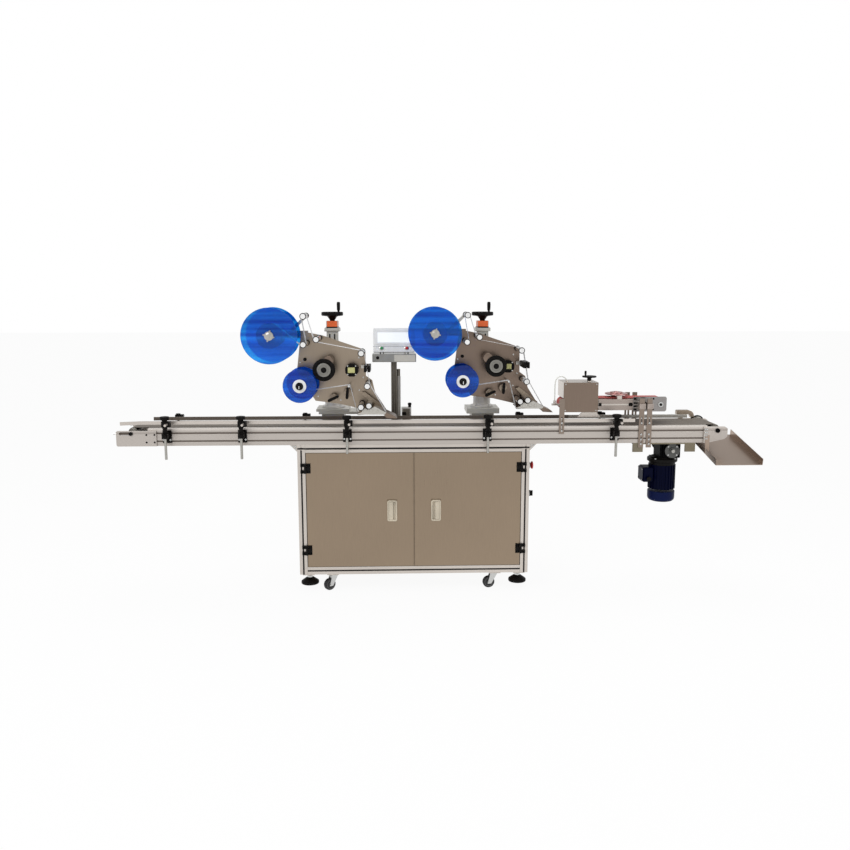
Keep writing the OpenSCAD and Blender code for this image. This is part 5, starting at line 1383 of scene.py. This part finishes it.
def conveyor_ends():
    """Bolts, tension screws and drum axle nuts of the conveyor's end plates, and painted shade in the beam's
    grooves and a slot.
    """
    ends = Group("base", "frame_alu")
    places = [at(x, END_FACE, z) for x in (1487, 1496) for z in (802, 818, 834, 850)]
    ends.screws("end_plate_bolts", 4.6, places)
    places = [at(x, END_FACE, z) for x in (-1336, -1296) for z in (800, 838)]
    ends.screws("left_plate_bolts", 4.2, places, "dark_metal")
    for drum, name, radius, x, finish in (("drive_drum", "drum_axle_nuts", 12.5, 1550, "dark_metal"),
                                          ("idler_drum", "idler_axle_nuts", 10.5, -1412, "black")):
        Group(drum, "frame_alu").screws(name, radius, [at(x, END_FACE, AXLE_Z)], finish, hexagon=True)
    # Shaded strips in the left slot and along the beam's two grooves are painted shade.
    ends.block("left_slot_shade", (-1472, 0.6, 837), (-1424, 3.4, 851), "painted soft shade", 0.3)
    head = [(0, 4), (0.4, 5), (4.2, 5), (4.8, 3.4), (14.2, 3.4)]
    for name, low, high, y in (("1", 800.4, 807.6, -4.2), ("2", 840.4, 847.6, 274.2)):
        ends.block("beam_groove_" + name, (-1329, 1.6, low), (1499, 3.9, high), "painted soft shade", 0.3)
        ends.turned("tension_screw_" + name, at(-1501.4, y, AXLE_Z), "X", head, "bright", 6)


press_cord()
for head in HEADS:
    column_details(head)
    handwheel(head)
touch_panel()
panel_stand()
press_unit()
bar_details()
drive_motor()
gearbox_details()
door_fittings("left", -1)
door_fittings("right", 1)
frame_details()
casters()
feet()
rod_skins()
conveyor_ends()


def even_shading():
    """Large faces stay flat beside their rounded edges, on CAD nodes and new pieces alike."""
    for piece in bpy.context.scene.objects:
        if piece.type == "MESH":
            flat = piece.modifiers.new("flat faces", "WEIGHTED_NORMAL")
            flat.keep_sharp = True


even_shading()

# Floor and light


def make_floor():
    """White floor: dim to the camera, and lit in what shines or is seen through."""
    bpy.ops.mesh.primitive_plane_add(size=60, location=(0, 0, 0))
    floor = bpy.context.object
    floor.name = "floor"
    made = Finish("studio floor", (244, 244, 244), 0.9)
    camera, shine, clear = [made.node("ShaderNodeLightPath", output=f"Is {ray} Ray")
                            for ray in ("Camera", "Glossy", "Transmission")]
    glow = made.node("ShaderNodeEmission")
    own = Value(made, made.shader.outputs[0])
    mix = made.node("ShaderNodeMixShader", values={0: camera * 0.93 + shine + clear, 1: own, 2: glow})
    made.tree.links.new(mix.socket, made.tree.nodes["Material Output"].inputs[0])
    finishes["floor"] = made.material
    dress(floor, "floor")


def make_world():
    """White light from all round, stronger where the camera sees it."""
    world = bpy.data.worlds.new("studio")
    bpy.context.scene.world = world
    world.use_nodes = True
    tree = world.node_tree
    back = tree.nodes["Background"]
    seen = tree.nodes.new("ShaderNodeBackground")
    mix = tree.nodes.new("ShaderNodeMixShader")
    path = tree.nodes.new("ShaderNodeLightPath")
    for light, strength in ((back, 0.62), (seen, 1)):
        light.inputs["Color"].default_value = (1, 1, 1, 1)
        light.inputs["Strength"].default_value = strength
    tree.links.new(path.outputs["Is Camera Ray"], mix.inputs[0])
    tree.links.new(back.outputs[0], mix.inputs[1])
    tree.links.new(seen.outputs[0], mix.inputs[2])
    tree.links.new(mix.outputs[0], tree.nodes["World Output"].inputs[0])


def make_lamp(name, place, aim, size, power):
    data = bpy.data.lights.new(name, "AREA")
    data.shape = "RECTANGLE"
    data.size, data.size_y = size
    data.energy = power
    lamp = link(name, data)
    lamp.location = place
    lamp.rotation_euler = (Vector(aim) - Vector(place)).to_track_quat("-Z", "Y").to_euler()


make_floor()
make_world()
make_lamp("key", (-2.6, -3.6, 3.6), (0, 0, 0.8), (2.4, 1.6), 75)
make_lamp("fill", (3.4, -2.8, 2.2), (0, 0, 0.7), (2, 2), 30)
make_lamp("top", (0.2, 0.6, 4.2), (0, 0, 0.6), (3.4, 2.2), 45)
bpy.context.scene.view_settings.view_transform = "Standard"
